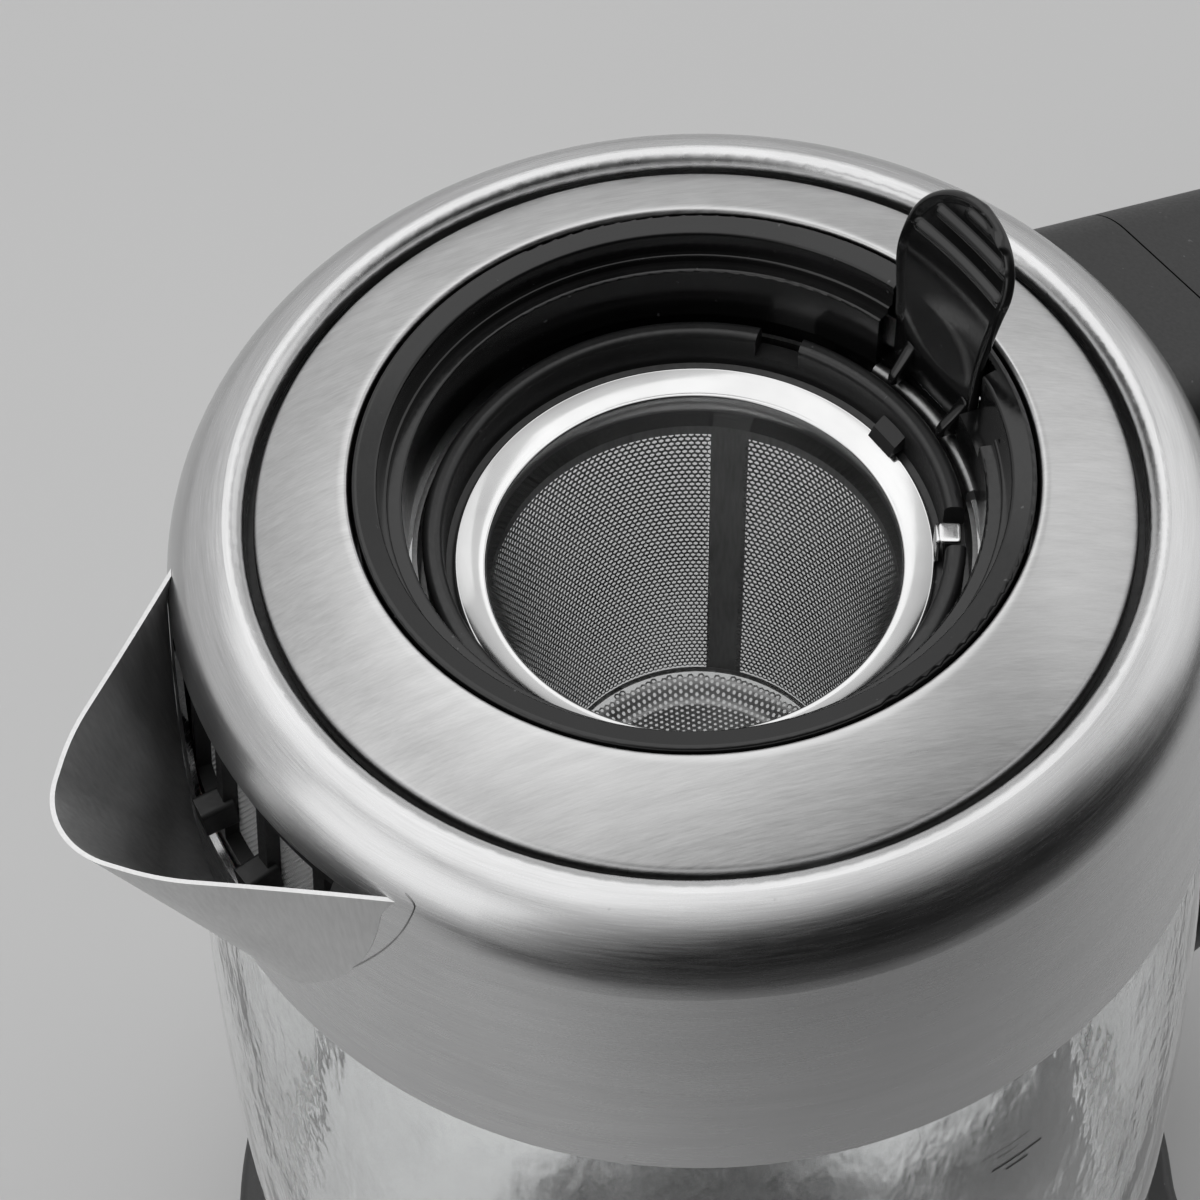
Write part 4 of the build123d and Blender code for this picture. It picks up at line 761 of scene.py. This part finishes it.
def make_fill_line(name, level, half, finish):
    """Printed stroke on the outside of the glass: a strip of its cone, half degrees each way."""
    angle = np.radians(MARK_AZIMUTH + np.linspace(-half, half, 25))[:, None]
    z = MARK_HEIGHT + level + np.array([-0.5, 0.5])[None, :] * MARK_STROKE
    points = wrapped(angle, MARK_RADIUS - MARK_FLARE * (z - MARK_HEIGHT), RIM_Z + z)
    piece = mesh_piece(name, points, grid_faces(*points.shape[:2]), finish, "jug")
    thicken(piece, MARK_THICKNESS)


def make_fill_mark(finish):
    """A long stroke at the full level and a short one under it."""
    make_fill_line("fill_line_upper", 0.0, 3.2, finish)
    make_fill_line("fill_line_lower", -1.6 * MM, 1.4, finish)


# ---------------------------------------------------------------- top plate
PLATE_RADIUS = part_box("top_plate")[1].x
PLATE_HEM = -2.4 * MM                         # heights are measured from the plate's rim
PLATE_SHEET = 0.5 * MM
LIP_RADIUS = 38.6 * MM
LIP_CREST = 39.1 * MM
CONE_START = 39.9 * MM
CONE_TOP = 4.8 * MM
CONE_SLOPES = (0.36, 0.56)                    # tangents of the fall near the lip and at the rim
BEND_RADIUS = 49.3 * MM
LIP_FALL = 0.7 * MM                           # height of the round inside the lip
LIP_WALLS = (1.8 * MM, 1.2 * MM)              # depths below the crest of the wall inside the lip
RIM_FALL = 0.8 * MM                           # from the cone's corner to the upright hem


def cone_height(radius):
    """Fall from CONE_TOP whose tangent grows evenly from the first slope to the second.

    Inside CONE_START the tangent shrinks evenly to nothing at the lip's crest.
    """
    first, last = CONE_SLOPES
    t = np.maximum(radius - CONE_START, 0.0)
    cone = first * t + 0.5 * (last - first) / (BEND_RADIUS - CONE_START) * t * t
    inward = np.maximum(CONE_START - radius, 0.0)
    return CONE_TOP - cone + first * inward - 0.5 * first / (CONE_START - LIP_CREST) * inward * inward


def plate_profile():
    """Closed section of the plate: quarter round inside the lip, its crest, cone, rim and hem.

    The rim is a parabola from the cone's end to the upright hem; the underside is the same
    curve one sheet lower.
    """
    top = cone_height(LIP_CREST)
    wall = section(LIP_RADIUS, top - np.array(LIP_WALLS))
    turn = np.linspace(0.0, math.pi / 2, 10)[:-1]
    arc = section(
        LIP_CREST - (LIP_CREST - LIP_RADIUS) * np.cos(turn),
        top - LIP_FALL * (1.0 - np.sin(turn)),
    )
    radius = np.linspace(LIP_CREST, BEND_RADIUS, 60)
    face = section(radius, cone_height(radius))
    s = np.linspace(0.0, 1.0, 10)[1:, None]
    start = face[-1]
    corner = np.array([PLATE_RADIUS, start[1] - CONE_SLOPES[1] * (PLATE_RADIUS - start[0])])
    end = np.array([PLATE_RADIUS, corner[1] - RIM_FALL])
    rim = start * (1 - s) ** 2 + corner * 2 * s * (1 - s) + end * s * s
    hem = section(PLATE_RADIUS, [PLATE_HEM])
    outer = np.concatenate([wall, arc, face, rim, hem])
    inner = outer[::-1] - np.array([0.0, PLATE_SHEET])
    inner[:, 0] = np.clip(inner[:, 0], LIP_RADIUS + PLATE_SHEET, PLATE_RADIUS - PLATE_SHEET)
    inner[:, 1] = np.clip(inner[:, 1], PLATE_HEM, None)
    inner[-1, 1] = outer[0, 1]
    return np.concatenate([outer, inner])


def make_top_plate(finish):
    """The plate's section turned about the axis stands for the CAD plate."""
    points = turned_round(plate_profile())
    piece = smooth_piece("brushed_top_plate", points, finish, "jug")
    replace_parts(piece, "top_plate")


# ---------------------------------------------------------------- lift tab
TAB_X = 34.6 * MM                             # upright lower blade; heights from the plate's rim
TAB_FOOT = -7.0 * MM
TAB_HEAD = 14.7 * MM                          # height of the round head's centre
TAB_HEAD_RISE = 7.2 * MM
TAB_HALF = 8.9 * MM
TAB_WAIST = 7.8 * MM
TAB_LEAN = 0.466                              # tangent of the head's lean
TAB_BEND = 11.9 * MM                          # height at which the lean sets in
TAB_BEND_EASE = 2.4 * MM
TAB_SPREAD = (2.0 * MM, 13.0 * MM)            # heights over which the waist widens to the head
TAB_WALL = 0.4 * MM                           # half the blade's thickness
TAB_EDGE = 0.6 * MM
TAB_RIM = 0.5 * MM
TAB_RIM_EDGES = (0.5 * MM, 1.4 * MM)          # distances from the outline where the rim falls off
TAB_DISH = 0.9 * MM
TAB_DISH_IN = (-3.0 * MM, 6.0 * MM)           # heights over which the dish sets in, then flattens
TAB_DISH_OUT = (14.0 * MM, 21.0 * MM)
TAB_HEEL = 1.9 * MM                           # extra thickness of the blade's foot, at the back
TAB_HEEL_EDGES = (-4.2 * MM, -2.2 * MM)
RIB_HEIGHT = 0.65 * MM
RIB_HALF = 0.85 * MM
RIB_LEVELS = (14.9 * MM, 17.9 * MM, 20.2 * MM)
RIB_RIGHTS = (-7.6 * MM, -7.0 * MM, -5.6 * MM)
RIB_LEFTS = (7.4 * MM, 5.6 * MM, 1.6 * MM)
GUSSET_REACH = (35.0 * MM, 31.3 * MM)         # radii of its ends at the blade and the toe
GUSSET_TOP = (-1.0 * MM, -5.9 * MM)
GUSSET_HALF = (1.05 * MM, 0.55 * MM)
GUSSET_LEFT = 7.5                             # azimuths
GUSSET_RIGHT = -9.9


def tab_middle(z):
    """Blade's side view and its slope: upright, then leaning, joined by a hyperbola."""
    t = z - TAB_BEND
    root = np.sqrt(t * t + TAB_BEND_EASE**2)
    return TAB_X + TAB_LEAN * 0.5 * (t + root), TAB_LEAN * 0.5 * (1.0 + t / root)


def tab_outline():
    """Heights from foot to crown and the half widths there: eased from waist to head, elliptic above."""
    low = np.linspace(TAB_FOOT, TAB_HEAD, 170)
    turn = np.linspace(0.0, math.pi / 2, 130)[1:]
    z = np.concatenate([low, TAB_HEAD + TAB_HEAD_RISE * np.sin(turn)])[:, None]
    over = np.concatenate([np.ones_like(low), np.cos(turn)])[:, None]
    return z, (TAB_WAIST + (TAB_HALF - TAB_WAIST) * eased(z, *TAB_SPREAD)) * over


def from_outline(z, u, width):
    """Distance inward from the blade's outline, never over half its waist."""
    above = np.clip(z - TAB_HEAD, 0.0, None) / TAB_HEAD_RISE
    in_head = TAB_WAIST * (1.0 - np.sqrt((u / TAB_HALF) ** 2 + above**2))
    return np.where(z > TAB_HEAD, in_head, np.minimum(width - np.abs(u), TAB_WAIST))


def tab_front(z, u, inward):
    """Front over the middle: wall, a rim that falls off inward, cosine-squared ribs across."""
    left_end = eased(z, -0.4 * MM, 1.4 * MM)
    right_end = eased(z, TAB_FOOT, TAB_FOOT + 2 * MM)
    ends = np.where(u > 0.0, left_end, right_end)
    front = TAB_WALL + TAB_RIM * ends * (1.0 - eased(inward, *TAB_RIM_EDGES))
    for level, right, left in zip(RIB_LEVELS, RIB_RIGHTS, RIB_LEFTS):
        away = np.clip(np.abs(z - level) / RIB_HALF, 0.0, 1.0)
        begun = eased(u, right - 0.5 * MM, right + 0.6 * MM)
        ended = eased(u, left - 0.6 * MM, left + 0.5 * MM)
        front = front + RIB_HEIGHT * np.cos(away * math.pi / 2) ** 2 * begun * (1.0 - ended)
    return front


def tab_hollow(z, u, width):
    """Depth of the blade's dish: 1 - (u/w)^2, eased in above the foot and mostly out at the crown."""
    share = eased(z, *TAB_DISH_IN) * (1.0 - 0.7 * eased(z, *TAB_DISH_OUT))
    return TAB_DISH * share * np.clip(1.0 - (u / np.maximum(width, 1e-6)) ** 2, 0.0, 1.0)


def tab_blade():
    """Rings round the blade from foot to crown, over the front and back by the back.

    A ring's points are at u = w sin a for even steps of a; front and back stand off the middle
    line square to it, both drawn in at the outline's rounded edge and moved by the dish.
    """
    z, width = tab_outline()
    u = width * np.sin(np.linspace(-math.pi / 2, math.pi / 2, 121)[None, :])
    inward = from_outline(z, u, width)
    edge = rounded(inward / TAB_EDGE)
    dish = tab_hollow(z, u, width)
    back = TAB_WALL + TAB_HEEL * (1.0 - eased(z, *TAB_HEEL_EDGES))
    x, slope = tab_middle(z)
    length = np.sqrt(1.0 + slope * slope)

    def sheet(offset):
        """Middle line moved by an offset square to its slope."""
        place = x - offset / length, u, RIM_Z + z + offset * slope / length
        return np.stack(np.broadcast_arrays(*place), axis=-1)

    front_sheet = sheet(tab_front(z, u, inward) * edge - dish)
    back_sheet = sheet(-back * edge - dish)
    loop = np.concatenate([front_sheet, back_sheet[:, ::-1]], axis=1)
    foot = np.broadcast_to(loop[:1].mean(axis=1, keepdims=True), loop[:1].shape)
    return np.concatenate([foot, loop])


def tab_gusset(azimuth):
    """Thin web from blade to holder: rings |x|^4 + |y|^4 = 1 along the radius, nosed at both ends."""
    along = np.linspace(0.0, 1.0, 41)[:, None]
    turn = np.linspace(0.0, 2.0 * math.pi, 33)[None, :-1]
    nose = rounded(along / 0.12) * rounded((1.0 - along) / 0.2)

    def run(ends, power=1.0):
        """From the first to the second end as a power of the share along."""
        return ends[0] + (ends[1] - ends[0]) * along**power

    top = run(GUSSET_TOP, 0.8)
    upright = (top - TAB_FOOT) / 2 * nose * squared_up(np.sin(turn), 0.5)
    aside = run(GUSSET_HALF) * nose * squared_up(np.cos(turn), 0.5)
    return placed(run(GUSSET_REACH), aside, RIM_Z + (top + TAB_FOOT) / 2 + upright, azimuth)


def make_lift_tab(finish):
    """Blade and two gussets stand for the CAD tab."""
    blade = smooth_piece("tab_blade", tab_blade(), finish, "infuser")
    smooth_piece("tab_gusset_left", tab_gusset(GUSSET_LEFT), finish, "infuser")
    smooth_piece("tab_gusset_right", tab_gusset(GUSSET_RIGHT), finish, "infuser")
    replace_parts(blade, "lift_tab")


# ---------------------------------------------------------------- studio
FLOOR_TONE = 0.6
BACKDROP_TONE = 0.56
FLOOR_SIZE = 6.0
FLOOR_NEAR = 0.12                             # metres in front where painted shade starts to darken the floor as steel sees it
FLOOR_FAR = 0.42
# Painted shade: in reflections the floor keeps this share of its tone at FLOOR_FAR
PAINTED_FLOOR_SHADE = 0.1
ROOM_TONE = 0.65
ROOM_DARK = 0.02
DARK_SIDE = (-90.0, -6.0)                     # azimuth and elevation of the room's unlit side
DARK_EDGE = (0.16, 0.72)                      # cosines from it where the dark starts and is full
BRIGHT_TOP = (62.0, 73.0)                     # azimuth and elevation of its bright patch
TOP_EDGE = (0.5, 0.8)
TOP_TONE = 0.85
AIM = Vector((0, 0, RIM_Z))


def add_floor():
    """Pale matt floor with a faint mottling; as steel sees it, its colour darkens towards the front, a
    painted shade for the unlit side.
    """
    f = Finish("studio_floor", 0.8)
    tone = f.between(f.noise(f.point, scale=3.0), FLOOR_TONE * 0.985, FLOOR_TONE * 1.015)
    front = f.node("ShaderNodeSeparateXYZ", Vector=f.point).outputs[1]
    # Painted shade: for glossy rays only, the floor's colour is darkened towards the front
    painted_front_shade = f.between(front, PAINTED_FLOOR_SHADE, 1.0, -FLOOR_FAR, -FLOOR_NEAR)
    glossy = f.node("ShaderNodeLightPath").outputs["Is Glossy Ray"]
    share = f.maths("ADD", 1.0, f.maths("MULTIPLY", glossy, f.maths("SUBTRACT", painted_front_shade, 1.0)))
    f.set(Base_Color=f.grey(f.maths("MULTIPLY", tone, share)))
    f.set(Specular_IOR_Level=0.1)
    half = FLOOR_SIZE / 2
    corners = np.array([(-half, -half, 0), (half, -half, 0), (half, half, 0), (-half, half, 0)], float)
    mesh = bpy.data.meshes.new("studio_floor")
    mesh.from_pydata(corners.tolist(), [], [(0, 1, 2, 3)])
    mesh.materials.append(f.material)
    floor = bpy.data.objects.new("studio_floor", mesh)
    bpy.context.scene.collection.objects.link(floor)


def add_lamp(name, azimuth, elevation, distance, width, depth, radiance):
    """Soft rectangular lamp that faces the collar, as bright all over as its radiance."""
    data = bpy.data.lights.new(name, "AREA")
    data.shape = "RECTANGLE"
    data.size = width
    data.size_y = depth
    data.energy = radiance * math.pi * width * depth
    lamp = bpy.data.objects.new(name, data)
    bpy.context.scene.collection.objects.link(lamp)
    away = toward(azimuth, elevation)
    lamp.location = AIM + away * distance
    lamp.rotation_euler = (-away).to_track_quat("-Z", "Y").to_euler()
    lamp.visible_camera = False


def sky_ramp(tree, direction, centre, edge, outside, inside):
    """Tone by the cosine from a centre direction: smoothstep between two cosines."""
    facing = tree.nodes.new("ShaderNodeVectorMath")
    facing.operation = "DOT_PRODUCT"
    facing.inputs[1].default_value = toward(*centre)
    tree.links.new(direction, facing.inputs[0])
    ramp = tree.nodes.new("ShaderNodeMapRange")
    ramp.interpolation_type = "SMOOTHSTEP"
    for name, value in zip(("From Min", "From Max", "To Min", "To Max"), (*edge, outside, inside)):
        ramp.inputs[name].default_value = value
    tree.links.new(facing.outputs["Value"], ramp.inputs["Value"])
    return ramp.outputs[0]


def add_world():
    """Soft room: grey, brighter overhead, with one unlit side that steel shows as a dark band."""
    world = bpy.data.worlds.new("studio_room")
    world.use_nodes = True
    tree = world.node_tree
    back = tree.nodes["Background"]
    coordinate = tree.nodes.new("ShaderNodeTexCoord")
    direction = coordinate.outputs["Generated"]
    top = sky_ramp(tree, direction, BRIGHT_TOP, TOP_EDGE, ROOM_TONE, TOP_TONE)
    lit = sky_ramp(tree, direction, DARK_SIDE, DARK_EDGE, 1.0, ROOM_DARK)
    tone = tree.nodes.new("ShaderNodeMath")
    tone.operation = "MULTIPLY"
    tree.links.new(top, tone.inputs[0])
    tree.links.new(lit, tone.inputs[1])
    path = tree.nodes.new("ShaderNodeLightPath")
    straight = tree.nodes.new("ShaderNodeMath")
    straight.operation = "MAXIMUM"
    tree.links.new(path.outputs["Is Camera Ray"], straight.inputs[0])
    tree.links.new(path.outputs["Is Transmission Ray"], straight.inputs[1])
    seen = tree.nodes.new("ShaderNodeMix")
    tree.links.new(straight.outputs[0], seen.inputs[0])
    tree.links.new(tone.outputs[0], seen.inputs[2])
    seen.inputs[3].default_value = BACKDROP_TONE
    tree.links.new(seen.outputs[0], back.inputs["Color"])
    bpy.context.scene.world = world


def add_studio():
    """Floor, room and three soft lamps."""
    add_floor()
    add_world()
    add_lamp("overhead_softbox", 90.0, 72.0, 1.25, 1.5, 1.4, 0.6)
    add_lamp("left_softbox", 180.0, 30.0, 1.3, 0.95, 0.8, 0.75)
    add_lamp("right_softbox", -4.0, 24.0, 1.3, 1.15, 0.9, 0.4)


# ---------------------------------------------------------------- make
finishes = make_finishes()
dress_frame(finishes)
make_infuser(finishes)
make_top_plate(finishes["top_plate"])
make_lift_tab(finishes["lift_tab"])
make_flange(finishes["polished_steel"])
make_strainer_mesh(finishes["spout_strainer_mesh"])
make_weld_line(finishes["mesh_steel"])
make_fill_mark(finishes["matt_black"])
add_studio()
add_camera()
scene = bpy.context.scene
scene.view_settings.view_transform = "Standard"
